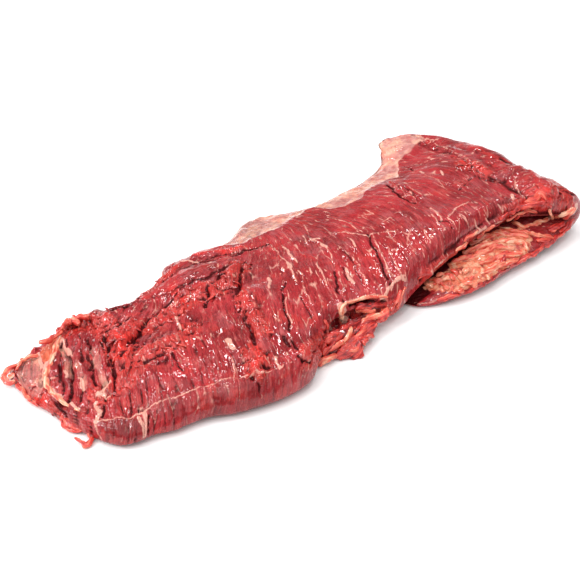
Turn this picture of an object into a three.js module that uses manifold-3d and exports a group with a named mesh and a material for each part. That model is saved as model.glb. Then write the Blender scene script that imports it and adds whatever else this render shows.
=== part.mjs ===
// A raw flank steak: one long, flat muscle that lies on a table, with its wide end folded under itself.
// The thin tail is on the left, the fold on the right, and fat shows on the flap that comes out below.
// Millimetres, +Z up. X runs from the tail to the fold and Y from the near edge to the far edge.
// The origin is on the table, under the middle of the steak's box.
import * as THREE from "three";
import { mergeVertices } from "three/addons/utils/BufferGeometryUtils.js";
import Module from "manifold-3d";

// Driving dimensions: the length of the folded steak and of the flap under it
const TAIL_X = -196;
const FOLD_X = 177; // the line about which the meat turns under
const FLAP_END_X = 38; // where the hidden flap stops
const GAP = 2.5; // air between the two layers

// Driving dimensions: how thick the meat is along its length
const THICKNESS = [
  [-196, 7], [-185, 8], [-165, 11], [-130, 16], [-90, 20], [-40, 22], [30, 22], [110, 19], [177, 17],
];
const FLAP_THICKNESS = 12;
const LIFT_START_X = 5; // from here the steak climbs onto the flap
const LIFT_END_X = 95;
const WAVE_HEIGHT = 1.5; // both layers sag and rise together by this much, from edge to edge
const WAVE_LENGTH = 62;

// The plan outline, as the near and the far edge at stations along the steak
const NEAR_EDGE = [
  [-196, 12], [-193, 5], [-190, -2], [-186, -15], [-181, -33], [-176, -50], [-168, -66], [-158, -71], [-148, -72],
  [-137, -76], [-126, -77], [-115, -79], [-105, -84], [-96, -87], [-76, -91], [-60, -91], [-50, -88], [-42, -81],
  [-36, -75], [-30, -71], [-23, -68], [-14, -65], [-4, -64], [8, -66], [18, -70], [27, -71], [35, -69], [44, -66],
  [59, -63], [77, -60], [96, -57], [116, -54], [136, -52], [152, -54], [165, -61], [177, -69],
];
const FAR_EDGE = [
  [-196, 20], [-190, 26], [-178, 33], [-158, 40], [-145, 44], [-127, 45], [-112, 41], [-92, 39], [-80, 45],
  [-70, 51], [-58, 59], [-40, 58], [-25, 55], [-13, 59], [0, 65], [12, 66], [24, 61], [36, 55], [48, 50], [64, 47],
  [90, 45], [104, 47], [116, 49], [130, 54], [142, 62], [155, 71], [168, 76], [177, 78],
];
const FLAP_NEAR_EDGE = [[38, -72], [58, -79], [75, -82], [92, -83], [121, -80], [145, -77], [165, -73], [177, -69]];
const FLAP_FAR_EDGE = [[38, 50], [64, 44], [90, 42], [104, 44], [116, 47], [130, 53], [150, 68], [177, 78]];

// The fold is not square to the steak: how far it falls short of its furthest point, across the width
const FOLD_SHORTFALL = [
  [-69, 3], [-58, 6], [-40, 8], [-20, 8], [5, 8], [25, 9], [42, 12], [58, 18], [70, 26], [78, 33],
];
const FOLD_SKEW_START_X = 55;

// How the edges round off: the near one is cut blunt, and the far one thins out into a wedge of skin
const NEAR_ROUND = [[-196, 9], [-150, 11], [100, 11], [150, 7], [177, 6]];
const FAR_ROUND = 7;
const FAR_WEDGE = 78;
const FAR_WEDGE_POWER = 0.6;
const FAR_SHARE = 0.16; // what is left of the thickness at the far edge
const TAIL_ROUND = 14;
const RIM_HEIGHT = 0.3; // the height of the rim, as a share of the thickness there
const UNDERSIDE_ROUND = 12;
const FLAP_ROUND = 16;
const THINNEST = 0.35; // no groove leaves less than this share of the thickness

// Relief of the upper face: grooves and tears that go in, and muscles that stand out
const GROOVES = [
  { path: [[-84, 12], [-97, 4], [-107, -2], [-115, -6], [-123, -13], [-129, -22]], width: 4.5, depth: 8 },
  { path: [[-60, 4], [-67, -6], [-75, -14]], width: 4, depth: 6 },
  { path: [[-24, 16], [-35, 5], [-44, -5], [-53, -12], [-59, -20], [-62, -34], [-67, -48], [-69, -57]], width: 4.5, depth: 7 },
  { path: [[-60, -57], [-50, -60]], width: 6, depth: 8 },
  { path: [[-27, -22], [-32, -32], [-40, -46], [-45, -57]], width: 3.2, depth: 5 },
  { path: [[7, -31], [0, -42], [-5, -53]], width: 3, depth: 4.5 },
  { path: [[43, -22], [38, -33], [33, -44], [27, -56]], width: 3, depth: 4.5 },
  { path: [[154, 40], [149, 22], [145, 8], [146, -11], [147, -22]], width: 6, depth: 4 },
  { path: [[160, -16], [154, -32], [148, -46]], width: 4, depth: 4 },
  { path: [[-116, 31], [-91, 24], [-69, 19], [-54, 15], [-41, 17], [-23, 24]], width: 4, depth: 3.5 },
  { path: [[-134, 4], [-140, -18], [-150, -40]], width: 4, depth: 4 },
  { path: [[-161, -4], [-169, -22]], width: 4, depth: 3 },
  { path: [[-150, -46], [-155, -62]], width: 4, depth: 4 },
];
const RIDGES = [
  { path: [[-38, -6], [-46, -24], [-54, -48]], width: 9, depth: 4 },
  { path: [[-125, 36], [-90, 36], [-60, 34], [-30, 38]], width: 9, depth: 2.5 },
  { path: [[-102, -18], [-92, -32], [-88, -50]], width: 14, depth: 3 },
  { path: [[-150, 22], [-136, 26]], width: 9, depth: 3 },
  { path: [[120, 10], [128, -12], [126, -34]], width: 14, depth: 3 },
  { path: [[172, 30], [172, 0]], width: 10, depth: 2 },
];

// The torn pocket in the near edge: the meat is hollowed below its upper rim
const POCKET = { from: -26, to: 22, height: 9, reach: 5, depth: 8 };

// Loose shreds at the torn edges, each along a line of points and flattened, with its width and thickness
const SHREDS = [
  { line: [[-176, 22, 5], [-182, 29, 3.8], [-189, 25, 3], [-189, 16, 3], [-180, 8, 4]], width: 6, thick: 3.4 },
  { line: [[-160, -42, 8], [-168, -48, 5], [-174, -57, 3], [-180, -57, 2.6], [-184, -49, 2.6]], width: 8, thick: 4 },
  { line: [[-22, -50, 11], [-15, -62, 8], [-12, -73, 5.5], [-15, -85, 3]], width: 27, thick: 6 },
  { line: [[-14, -54, 14], [-2, -63, 12], [9, -70, 10.5], [20, -75, 9]], width: 16, thick: 6 },
  { line: [[-18, -56, 9], [-26, -67, 6], [-32, -75, 4.5], [-37, -80, 3]], width: 15, thick: 6 },
  { line: [[-13, -48, 20], [-12, -58, 19], [-13, -68, 14]], width: 14, thick: 8 },
  { line: [[126, -52, 13.4], [138, -61, 12.4], [147, -71, 10.6], [152, -79, 8]], width: 9, thick: 4 },
  { line: [[144, -46, 29], [160, -57, 28], [172, -66, 27]], width: 10, thick: 6 },
];
const SHRED_SIDES = 8;
const SHRED_STEPS = 7;

// Lumps of fat on the flap, in rows along its near edge
const LOBE_ROWS = 3;
const LOBES_PER_ROW = 9;
const LOBE_FIELD = { fromX: 50, toX: 130, inset: 5, rowStep: 7 };
const LOBE_SIZE = { length: 9, width: 6, height: 4.6 };
const LOBE_SEED = 11;

// Surface unevenness that is too irregular to name
const RIPPLE_SIZE = 34;
const RIPPLE_HEIGHT = 1.3;
const BELLY_RIPPLE = 0.5;

// How finely the skin is divided
const TOP_STEPS = 28;
const BOTTOM_STEPS = 10;
const FOLD_RINGS = 9;
const FLAP_STEP = 9;
const BODY_STEP = 4.6;
const TAIL_STEPS = [0, 1, 2.2, 4, 6.4, 9.4, 13, 17];

// A smooth curve through knots [position, value], level beyond both ends
function curveThrough(knots) {
  const slope = knots.map((k, i) => {
    if (i === 0 || i === knots.length - 1) return 0;
    const [before, after] = [knots[i - 1], knots[i + 1]];
    return (after[1] - before[1]) / (after[0] - before[0]);
  });
  return (at) => {
    if (at <= knots[0][0]) return knots[0][1];
    if (at >= knots.at(-1)[0]) return knots.at(-1)[1];
    const i = knots.findIndex((k) => k[0] > at) - 1;
    const span = knots[i + 1][0] - knots[i][0];
    const t = (at - knots[i][0]) / span;
    const rise = t * t * (3 - 2 * t);
    const bend = slope[i] * (t ** 3 - 2 * t * t + t) + slope[i + 1] * (t ** 3 - t * t);
    return knots[i][1] * (1 - rise) + knots[i + 1][1] * rise + bend * span;
  };
}

const clamp01 = (t) => Math.min(1, Math.max(0, t));
const smooth = (from, to, at) => {
  const t = clamp01((at - from) / (to - from));
  return t * t * (3 - 2 * t);
};

const thicknessAt = curveThrough(THICKNESS);
const nearRoundAt = curveThrough(NEAR_ROUND);
const nearAt = curveThrough(NEAR_EDGE);
const farAt = curveThrough(FAR_EDGE);
const flapNearAt = curveThrough(FLAP_NEAR_EDGE);
const flapFarAt = curveThrough(FLAP_FAR_EDGE);
const shortfallAt = curveThrough(FOLD_SHORTFALL);

// How high the floor of the upper layer is: it rises over the flap, and waves a little from edge to edge
function liftAt(x, y) {
  const wave = WAVE_HEIGHT * Math.sin((2 * Math.PI * (y + 70)) / WAVE_LENGTH);
  return (FLAP_THICKNESS + GAP) * smooth(LIFT_START_X, LIFT_END_X, x) + wave * smooth(60, 110, x);
}

// A quarter-round: 0 at the edge, 1 from the given distance inwards
const rounding = (distance, radius) => {
  const t = 1 - clamp01(distance / radius);
  return Math.sqrt(Math.max(0, 1 - t * t));
};

// Broad, uneven swelling from a few crossing waves
function ripple(x, y) {
  const WAVES = 5;
  let sum = 0;
  for (let i = 0; i < WAVES; i++) {
    const turn = i * 2.4;
    const pitch = (2 * Math.PI) / (RIPPLE_SIZE * (0.7 + 0.25 * i));
    sum += Math.sin(pitch * (x * Math.cos(turn) + y * Math.sin(turn)) + 1.7 * i);
  }
  return sum / WAVES;
}

// The distance from a point to a path in plan
function distanceToPath(x, y, path) {
  let nearest = Infinity;
  for (let i = 1; i < path.length; i++) {
    const [ax, ay] = path[i - 1];
    const [dx, dy] = [path[i][0] - ax, path[i][1] - ay];
    const t = clamp01(((x - ax) * dx + (y - ay) * dy) / (dx * dx + dy * dy));
    nearest = Math.min(nearest, Math.hypot(x - ax - t * dx, y - ay - t * dy));
  }
  return nearest;
}

function relief(x, y) {
  const bell = (f) => f.depth * Math.exp(-((distanceToPath(x, y, f.path) / f.width) ** 2));
  const raised = RIDGES.reduce((sum, f) => sum + bell(f), 0);
  return raised - GROOVES.reduce((deepest, f) => Math.max(deepest, bell(f)), 0) + RIPPLE_HEIGHT * ripple(x, y);
}

// A cross-section at y: how far the outer and the inner face stand from the layer's floor
function section(x, y, near, far, thick, bump) {
  const fromEdge = Math.max(0, Math.min(y - near, far - y));
  const wedge = FAR_SHARE + (1 - FAR_SHARE) * Math.pow(clamp01((far - y) / FAR_WEDGE), FAR_WEDGE_POWER);
  const full = thick * wedge * rounding(x - TAIL_X + 4, TAIL_ROUND);
  const round = Math.min(rounding(y - near, nearRoundAt(x)), rounding(far - y, FAR_ROUND));
  const rim = RIM_HEIGHT * full;
  const inner = rim * (1 - rounding(fromEdge, UNDERSIDE_ROUND));
  const plain = rim + (full - rim) * round;
  const outer = Math.max(plain + bump * smooth(0.2, 0.9, round), inner + (plain - inner) * THINNEST);
  return { inner, outer, onEdge: fromEdge < 1e-6, rim };
}

// One ring round the meat: the outer face from the near to the far edge, then the inner face back
function ring(near, far, place) {
  const points = [];
  const across = (w) => near + (far - near) * (0.5 - 0.5 * Math.cos(Math.PI * w)) * 0.6 + (far - near) * w * 0.4;
  for (let i = 0; i <= TOP_STEPS; i++) points.push(place(across(i / TOP_STEPS), true));
  for (let i = BOTTOM_STEPS - 1; i > 0; i--) points.push(place(across(i / BOTTOM_STEPS), false));
  return points;
}

// The x that a station has at y, once the skew of the fold is taken in
const skewed = (x, y) => x - shortfallAt(y) * smooth(FOLD_SKEW_START_X, FOLD_X, x);

function upperRing(x) {
  const [near, far] = [nearAt(x), farAt(x)];
  return ring(near, far, (y, outer) => {
    const at = section(x, y, near, far, thicknessAt(x), relief(x, y));
    const belly = BELLY_RIPPLE * (1 + ripple(x, y)) * smooth(4, 20, Math.min(y - near, far - y));
    let height = outer ? at.outer : at.inner + belly;
    if (at.onEdge) height = at.rim;
    return pocketed(skewed(x, y), y, liftAt(x, y) + height, near);
  });
}

// Pushes a point of the near edge inwards where the torn pocket is
function pocketed(x, y, z, near) {
  const along = smooth(POCKET.from, POCKET.from + 8, x) * (1 - smooth(POCKET.to - 8, POCKET.to, x));
  const level = Math.exp(-(((z - POCKET.height) / POCKET.reach) ** 2));
  const close = 1 - smooth(near + 4, near + 20, y);
  return new THREE.Vector3(x, y + POCKET.depth * along * level * close, z);
}

function foldRing(angle) {
  const [near, far] = [nearAt(FOLD_X), farAt(FOLD_X)];
  const turned = (1 - Math.cos(angle)) / 2;
  return ring(near, far, (y, outer) => {
    const thick = thicknessAt(FOLD_X) * (1 - turned) + (liftAt(FOLD_X, y) - GAP) * turned;
    const bump = relief(FOLD_X + thick * angle * 0.5, y) * (1 - turned) ** 2;
    const at = section(FOLD_X, y, near, far, thick, bump);
    let height = outer ? at.outer : at.inner;
    if (at.onEdge) height = at.rim;
    const reach = GAP / 2 + height;
    const centre = liftAt(FOLD_X, y) - GAP / 2;
    return new THREE.Vector3(
      FOLD_X - shortfallAt(y) + reach * Math.sin(angle),
      y,
      centre + reach * Math.cos(angle),
    );
  });
}

function flapRing(x) {
  const [near, far] = [flapNearAt(x), flapFarAt(x)];
  const blend = smooth(FOLD_X, FOLD_X - 30, x);
  return ring(near, far, (y, outer) => {
    const thick = liftAt(x, y) - GAP;
    const folded = section(FOLD_X, y, near, far, thick, 0);
    const fromEdge = Math.max(0, Math.min(y - near, far - y));
    const flatOuter = thick * (0.5 + 0.5 * rounding(fromEdge, UNDERSIDE_ROUND * 0.6));
    const flatInner = thick * 0.5 * (1 - rounding(fromEdge, FLAP_ROUND));
    let height = outer
      ? folded.outer * (1 - blend) + flatOuter * blend
      : folded.inner * (1 - blend) + flatInner * blend;
    if (folded.onEdge) height = folded.rim * (1 - blend) + 0.5 * thick * blend;
    return new THREE.Vector3(skewed(x, y), y, thick - height);
  });
}

// The rings in order: along the upper layer, round the fold, and back along the flap
function allRings() {
  const rings = TAIL_STEPS.map((step) => upperRing(TAIL_X + step));
  const start = TAIL_X + TAIL_STEPS.at(-1) + BODY_STEP;
  const steps = Math.round((FOLD_X - start) / BODY_STEP);
  for (let i = 0; i <= steps; i++) rings.push(upperRing(start + ((FOLD_X - start) * i) / steps));
  for (let i = 1; i <= FOLD_RINGS; i++) rings.push(foldRing((Math.PI * i) / FOLD_RINGS));
  const back = Math.round((FOLD_X - FLAP_END_X) / FLAP_STEP);
  for (let i = 1; i <= back; i++) rings.push(flapRing(FOLD_X - ((FOLD_X - FLAP_END_X) * i) / back));
  return rings;
}

// Joins the rings into one closed skin, with a flat cap at each end
function skinOf(rings) {
  const count = rings[0].length;
  const points = rings.flat();
  const faces = [];
  for (let r = 0; r + 1 < rings.length; r++) {
    for (let i = 0; i < count; i++) {
      const [a, b] = [r * count + i, r * count + ((i + 1) % count)];
      faces.push(a, b + count, b, a, a + count, b + count);
    }
  }
  for (const r of [0, rings.length - 1]) {
    const middle = points.length;
    const centre = new THREE.Vector3();
    for (const p of rings[r]) centre.addScaledVector(p, 1 / count);
    points.push(centre);
    for (let i = 0; i < count; i++) {
      const [a, b] = [r * count + i, r * count + ((i + 1) % count)];
      faces.push(middle, r > 0 ? b : a, r > 0 ? a : b);
    }
  }
  const positions = points.flatMap((p) => [p.x, p.y, p.z]);
  const geometry = new THREE.BufferGeometry();
  geometry.setAttribute("position", new THREE.Float32BufferAttribute(positions, 3));
  geometry.setIndex(faces);
  return geometry;
}

const wasm = await Module();
wasm.setup();

function solidFrom(geometry) {
  const bare = geometry.clone();
  bare.deleteAttribute("normal");
  bare.deleteAttribute("uv");
  const merged = mergeVertices(bare, 1e-4);
  return new wasm.Manifold(
    new wasm.Mesh({
      numProp: 3,
      vertProperties: merged.attributes.position.array,
      triVerts: new Uint32Array(merged.index.array),
    }),
  );
}

function geometryFrom(solid) {
  const mesh = solid.getMesh();
  const geometry = new THREE.BufferGeometry();
  geometry.setAttribute("position", new THREE.BufferAttribute(mesh.vertProperties, 3));
  geometry.setIndex(new THREE.BufferAttribute(mesh.triVerts, 1));
  geometry.computeVertexNormals();
  return geometry;
}

// A flattened strand along a line of points, thinner at both ends
function shred({ line, width, thick }) {
  const path = new THREE.CatmullRomCurve3(line.map((p) => new THREE.Vector3(...p)));
  const up = new THREE.Vector3(0, 0, 1);
  const points = [];
  for (let i = 0; i <= SHRED_STEPS; i++) {
    const t = i / SHRED_STEPS;
    const along = path.getTangentAt(t);
    const side = new THREE.Vector3().crossVectors(up, along).normalize();
    const over = new THREE.Vector3().crossVectors(along, side);
    const taper = 0.35 + 0.65 * Math.sin(Math.PI * (0.15 + 0.75 * t));
    for (let k = 0; k < SHRED_SIDES; k++) {
      const angle = (2 * Math.PI * k) / SHRED_SIDES;
      points.push(
        path
          .getPointAt(t)
          .addScaledVector(side, (Math.cos(angle) * width * taper) / 2)
          .addScaledVector(over, (Math.sin(angle) * thick * taper) / 2),
      );
    }
  }
  const faces = [];
  for (let i = 0; i < SHRED_STEPS; i++) {
    for (let k = 0; k < SHRED_SIDES; k++) {
      const [a, b] = [i * SHRED_SIDES + k, i * SHRED_SIDES + ((k + 1) % SHRED_SIDES)];
      faces.push(a, b + SHRED_SIDES, a + SHRED_SIDES, a, b, b + SHRED_SIDES);
    }
  }
  for (let k = 1; k + 1 < SHRED_SIDES; k++) {
    const last = SHRED_STEPS * SHRED_SIDES;
    faces.push(0, k + 1, k, last, last + k, last + k + 1);
  }
  const geometry = new THREE.BufferGeometry().setFromPoints(points);
  geometry.setIndex(faces);
  return solidFrom(geometry);
}

// Repeatable numbers between 0 and 1
function randomFrom(seed) {
  let state = seed;
  return () => {
    state = (state * 16807) % 2147483647;
    return state / 2147483647;
  };
}

function fatLobes() {
  const next = randomFrom(LOBE_SEED);
  const lobes = [];
  for (let row = 0; row < LOBE_ROWS; row++) {
    for (let i = 0; i < LOBES_PER_ROW; i++) {
      const share = (i + 0.2 + 0.6 * next()) / LOBES_PER_ROW;
      const x = LOBE_FIELD.fromX + (LOBE_FIELD.toX - LOBE_FIELD.fromX) * share;
      const inset = LOBE_FIELD.inset + LOBE_FIELD.rowStep * (row + 0.5 * next());
      const y = flapNearAt(x) + inset;
      const surface = flapRing(x)
        .slice(TOP_STEPS)
        .reduce((best, p) => (Math.abs(p.y - y) < Math.abs(best.y - y) ? p : best));
      const size = 0.75 + 0.5 * next();
      const lobe = new THREE.IcosahedronGeometry(0.5, 1);
      lobe.scale(LOBE_SIZE.length * size, LOBE_SIZE.width * size, LOBE_SIZE.height * size);
      lobe.rotateZ(Math.PI * next());
      lobe.translate(x, y, surface.z);
      lobes.push(solidFrom(lobe));
    }
  }
  return lobes;
}

let body = solidFrom(skinOf(allRings()));
for (const extra of [...SHREDS.map(shred), ...fatLobes()]) body = body.add(extra);

// Nothing goes below the table
const table = new THREE.BoxGeometry(600, 400, 40);
table.translate(0, 0, -20);
body = body.subtract(solidFrom(table));

// The origin is on the table, under the middle of the box
const box = new THREE.Box3().setFromBufferAttribute(geometryFrom(body).attributes.position);
const middle = box.getCenter(new THREE.Vector3());
body = body.translate([-middle.x, -middle.y, -box.min.z]);

const steak = new THREE.Mesh(
  geometryFrom(body),
  new THREE.MeshStandardMaterial({ color: 0xb03a3f, roughness: 0.4, metalness: 0 }),
);
steak.name = "steak";

const part = new THREE.Group();
part.add(steak);
export default part;
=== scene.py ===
# %% [markdown]
# # A raw flank steak, folded once
#
# The steak is a single flat muscle, about 56 cm long, whose wide end is folded under itself.
# Its fibres run across it in bundles 6 to 8 mm wide, and thin lines of fat run between them.
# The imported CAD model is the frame: it fixes the size and the outline. This script dresses it
# with a finer skin, torn edges, fat and the wet look of fresh meat.

import math

import bpy
import numpy as np
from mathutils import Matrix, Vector
from mathutils.bvhtree import BVHTree


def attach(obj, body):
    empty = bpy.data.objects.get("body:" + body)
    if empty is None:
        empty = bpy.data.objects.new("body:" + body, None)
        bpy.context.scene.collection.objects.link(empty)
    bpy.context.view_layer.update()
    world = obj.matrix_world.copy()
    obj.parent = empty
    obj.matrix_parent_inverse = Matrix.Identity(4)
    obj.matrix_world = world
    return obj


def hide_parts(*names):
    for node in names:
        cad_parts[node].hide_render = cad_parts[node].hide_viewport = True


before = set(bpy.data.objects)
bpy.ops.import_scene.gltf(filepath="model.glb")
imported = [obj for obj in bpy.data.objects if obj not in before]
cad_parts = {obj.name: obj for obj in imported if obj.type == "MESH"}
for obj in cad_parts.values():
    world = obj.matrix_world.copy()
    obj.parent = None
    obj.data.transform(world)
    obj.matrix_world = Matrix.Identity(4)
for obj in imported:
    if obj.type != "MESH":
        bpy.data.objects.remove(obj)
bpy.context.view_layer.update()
MM = 0.001

# %% [markdown]
# ## The camera
#
# The photograph looks down on the steak at 37 degrees, from its near left. Every listed mark on
# the meat is read off the photograph in pixels, so the camera comes first: its rays carry those
# pixels onto the meat.

# %% The photograph's camera
PICTURE = 580
LENS = 80
SENSOR = 36
AZIMUTH = -36.5
ELEVATION = 37
CAMERA_DISTANCE = 800
PLAN_SHIFT = np.array([3.5, 6.73, 0.0])
AIM = np.array([-14.0, -15.0, 8.0]) + PLAN_SHIFT


def camera_axes(azimuth, elevation):
    """Right, up and back of a camera that looks at the steak."""
    a, e = math.radians(azimuth), math.radians(elevation)
    back = np.array([math.sin(a) * math.cos(e), -math.cos(a) * math.cos(e), math.sin(e)])
    right = np.array([math.cos(a), math.sin(a), 0.0])
    return right, np.cross(back, right), back


right, up, back = camera_axes(AZIMUTH, ELEVATION)
eye = AIM + back * CAMERA_DISTANCE


def ray_through(px, py):
    """The direction in which the camera sees a pixel of the photograph."""
    focal = LENS / SENSOR * PICTURE
    return right * (px - PICTURE / 2) / focal - up * (py - PICTURE / 2) / focal - back


camera_data = bpy.data.cameras.new("photo_camera")
camera_data.lens = LENS
camera_data.sensor_width = SENSOR
camera = bpy.data.objects.new("photo_camera", camera_data)
camera.location = Vector(eye * MM)
camera.rotation_mode = "QUATERNION"
camera.rotation_quaternion = Vector(-back).to_track_quat("-Z", "Y")
bpy.context.scene.collection.objects.link(camera)
bpy.context.scene.camera = camera
print("camera at", np.round(eye), "mm")

# %% [markdown]
# ## The steak's own shape
#
# The skin is a loft: closed rings stand across the steak at many stations, along the upper layer,
# round the fold and back along the flap. The sizes are those of the CAD model, so the finer skin
# lies on it. Only the flap's near edge stands further in and the hollow is a little deeper, as in
# the photograph. A sculpted mesh could look the same, but a loft keeps every size as a number, and
# it gives each point a place on the unfolded steak, which the grain needs later.

# %% Sizes of the steak, in millimetres
TAIL_X = -196
FOLD_X = 177
FLAP_END_X = 38
GAP = 2.5
THICKNESS = [
    (-196, 7), (-185, 8), (-165, 11), (-130, 16), (-90, 20), (-40, 22), (30, 22), (110, 19),
    (177, 17),
]
FLAP_THICKNESS = 12
LIFT_START_X, LIFT_END_X = 5, 95
WAVE_HEIGHT, WAVE_LENGTH, WAVE_START_Y = 1.5, 62, -70
WAVE_FROM_X, WAVE_FULL_X = 60, 110
NEAR_EDGE = [
    (-196, 12), (-193, 5), (-190, -2), (-186, -15), (-181, -33), (-176, -50), (-168, -66),
    (-158, -71), (-148, -72), (-137, -76), (-126, -77), (-115, -79), (-105, -84), (-96, -87),
    (-76, -91), (-60, -91), (-50, -88), (-42, -81), (-36, -75), (-30, -71), (-23, -68),
    (-14, -65), (-4, -64), (8, -66), (18, -70), (27, -71), (35, -69), (44, -66), (59, -63),
    (77, -60), (96, -57), (116, -54), (136, -52), (152, -54), (165, -61), (177, -69),
]
FAR_EDGE = [
    (-196, 20), (-190, 26), (-178, 33), (-158, 40), (-145, 44), (-127, 45), (-112, 41),
    (-92, 39), (-80, 45), (-70, 51), (-58, 59), (-40, 58), (-25, 55), (-13, 59), (0, 65),
    (12, 66), (24, 61), (36, 55), (48, 50), (64, 47), (90, 45), (104, 47), (116, 49), (130, 54),
    (142, 62), (155, 71), (168, 76), (177, 78),
]
FLAP_NEAR_EDGE = [
    (38, -60), (45, -69), (58, -76), (75, -79), (92, -80), (121, -77), (145, -75), (165, -73),
    (177, -69),
]
FLAP_FAR_EDGE = [(38, 50), (64, 44), (90, 42), (104, 44), (116, 47), (130, 53), (150, 68), (177, 78)]
FOLD_SHORTFALL = [
    (-69, 3), (-58, 6), (-40, 8), (-20, 8), (5, 8), (25, 9), (42, 12), (58, 18), (70, 26), (78, 33),
]
FOLD_SKEW_START_X = 55
NEAR_ROUND = [(-196, 9), (-150, 11), (100, 11), (150, 7), (177, 6)]
FAR_ROUND = 7
FAR_WEDGE, FAR_WEDGE_POWER, FAR_SHARE = 78, 0.6, 0.16
TAIL_ROUND = 14
RIM_HEIGHT = 0.3
UNDERSIDE_ROUND, FLAP_ROUND = 12, 16
POCKET_FROM, POCKET_TO, POCKET_SOFT = -26, 22, 8
POCKET_HEIGHT, POCKET_REACH, POCKET_DEPTH = 9, 5, 9

# %% [markdown]
# ## Curves and roundings
#
# The sizes above are knots: a place along the steak and the value there. A smooth curve through
# them gives the value everywhere, as a curve object with its handles would, and a quarter-round
# softens the edges. From these come the thickness, the edges and the lift over the flap.

# %% Curves and roundings


def curve_through(knots):
    """A smooth curve through (position, value) knots, level beyond both ends."""
    at = np.array([k[0] for k in knots], float)
    value = np.array([k[1] for k in knots], float)
    slope = np.zeros_like(value)
    slope[1:-1] = (value[2:] - value[:-2]) / (at[2:] - at[:-2])

    def curve(x):
        x = np.clip(np.asarray(x, float), at[0], at[-1])
        i = np.clip(np.searchsorted(at, x, side="right") - 1, 0, len(at) - 2)
        span = at[i + 1] - at[i]
        t = (x - at[i]) / span
        rise = t * t * (3 - 2 * t)
        bend = slope[i] * (t**3 - 2 * t * t + t) + slope[i + 1] * (t**3 - t * t)
        return value[i] * (1 - rise) + value[i + 1] * rise + bend * span

    return curve


def smooth(start, end, at):
    """0 before the start, 1 past the end, and a soft step between."""
    t = np.clip((at - start) / (end - start), 0, 1)
    return t * t * (3 - 2 * t)


def rounding(distance, radius):
    """A quarter-round: 0 at the edge, 1 from the given distance inwards."""
    t = 1 - np.clip(distance / radius, 0, 1)
    return np.sqrt(np.maximum(0, 1 - t * t))


thickness_at = curve_through(THICKNESS)
near_at, far_at = curve_through(NEAR_EDGE), curve_through(FAR_EDGE)
flap_near_at, flap_far_at = curve_through(FLAP_NEAR_EDGE), curve_through(FLAP_FAR_EDGE)
shortfall_at, near_round_at = curve_through(FOLD_SHORTFALL), curve_through(NEAR_ROUND)


def lift_at(x, y):
    """The height of the upper layer's floor, where it lies on the flap."""
    wave = WAVE_HEIGHT * np.sin(2 * math.pi * (y - WAVE_START_Y) / WAVE_LENGTH)
    lift = (FLAP_THICKNESS + GAP) * smooth(LIFT_START_X, LIFT_END_X, x)
    return lift + wave * smooth(WAVE_FROM_X, WAVE_FULL_X, x)


def section(x, y, near, far, thick):
    """The outer and the inner face of a layer above its floor, and its rim's height."""
    from_edge = np.maximum(0, np.minimum(y - near, far - y))
    wedge = FAR_SHARE + (1 - FAR_SHARE) * np.clip((far - y) / FAR_WEDGE, 0, 1) ** FAR_WEDGE_POWER
    full = thick * wedge * rounding(x - TAIL_X + 4, TAIL_ROUND)
    round_off = np.minimum(rounding(y - near, near_round_at(x)), rounding(far - y, FAR_ROUND))
    rim = RIM_HEIGHT * full
    inner = rim * (1 - rounding(from_edge, UNDERSIDE_ROUND))
    return inner, rim + (full - rim) * round_off, rim, from_edge


print("the steak is", round(float(near_at(0) * -1 + far_at(0))), "mm wide at its middle")

# %% [markdown]
# ## The rings
#
# Each ring runs over the outer face from the near to the far edge, then back under the inner one.
# The points lie closer together near the edges, where the shape turns fast. Numpy works out a whole
# ring at once, so more than six hundred rings take a moment.

# %% Rings along the upper layer, round the fold and along the flap
OUTER_STEPS, INNER_STEPS = 118, 26
BODY_STEP, FLAP_STEP, FOLD_RINGS = 0.72, 1.4, 26
share = np.linspace(0, 1, OUTER_STEPS + 1)
outer_share = 0.6 * (0.5 - 0.5 * np.cos(math.pi * share)) + 0.4 * share
inner_count = np.linspace(0, 1, INNER_STEPS + 1)[1:-1][::-1]
even_inner = 0.6 * (0.5 - 0.5 * np.cos(math.pi * inner_count)) + 0.4 * inner_count
is_outer = np.concatenate([np.ones(OUTER_STEPS + 1, bool), np.zeros(INNER_STEPS - 1, bool)])
on_rim = np.zeros(len(is_outer), bool)
on_rim[[0, OUTER_STEPS]] = True


def across(near, far, crowd):
    """The y of every point of a ring; crowd moves the inner ones towards the near edge."""
    inner = even_inner * (1 - crowd) + inner_count**1.8 * crowd
    return near + (far - near) * np.concatenate([outer_share, inner])


TIP_FROM, TIP_SHORTER = -184, 0.6


def skewed(x, y):
    """The fold's slant and, at the tail, a blunter tip beyond which only the torn hook reaches."""
    blunt = TIP_SHORTER * np.minimum(x - TIP_FROM, 0)
    return x - blunt - shortfall_at(y) * smooth(FOLD_SKEW_START_X, FOLD_X, x)


def upper_ring(x):
    """A ring across the upper layer, with the hollow pressed into its near side."""
    near, far = near_at(x), far_at(x)
    y = across(near, far, smooth(60, FOLD_X, x))
    inner, outer, rim, _ = section(x, y, near, far, thickness_at(x))
    height = np.where(on_rim, rim, np.where(is_outer, outer, inner))
    z = lift_at(x, y) + height
    along = smooth(POCKET_FROM, POCKET_FROM + POCKET_SOFT, x)
    along *= 1 - smooth(POCKET_TO - POCKET_SOFT, POCKET_TO, x)
    level = np.exp(-(((z - POCKET_HEIGHT) / POCKET_REACH) ** 2))
    close = 1 - smooth(near + 4, near + 24, y)
    return np.stack([skewed(x, y), y + POCKET_DEPTH * along * level * close, z], 1)


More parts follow.
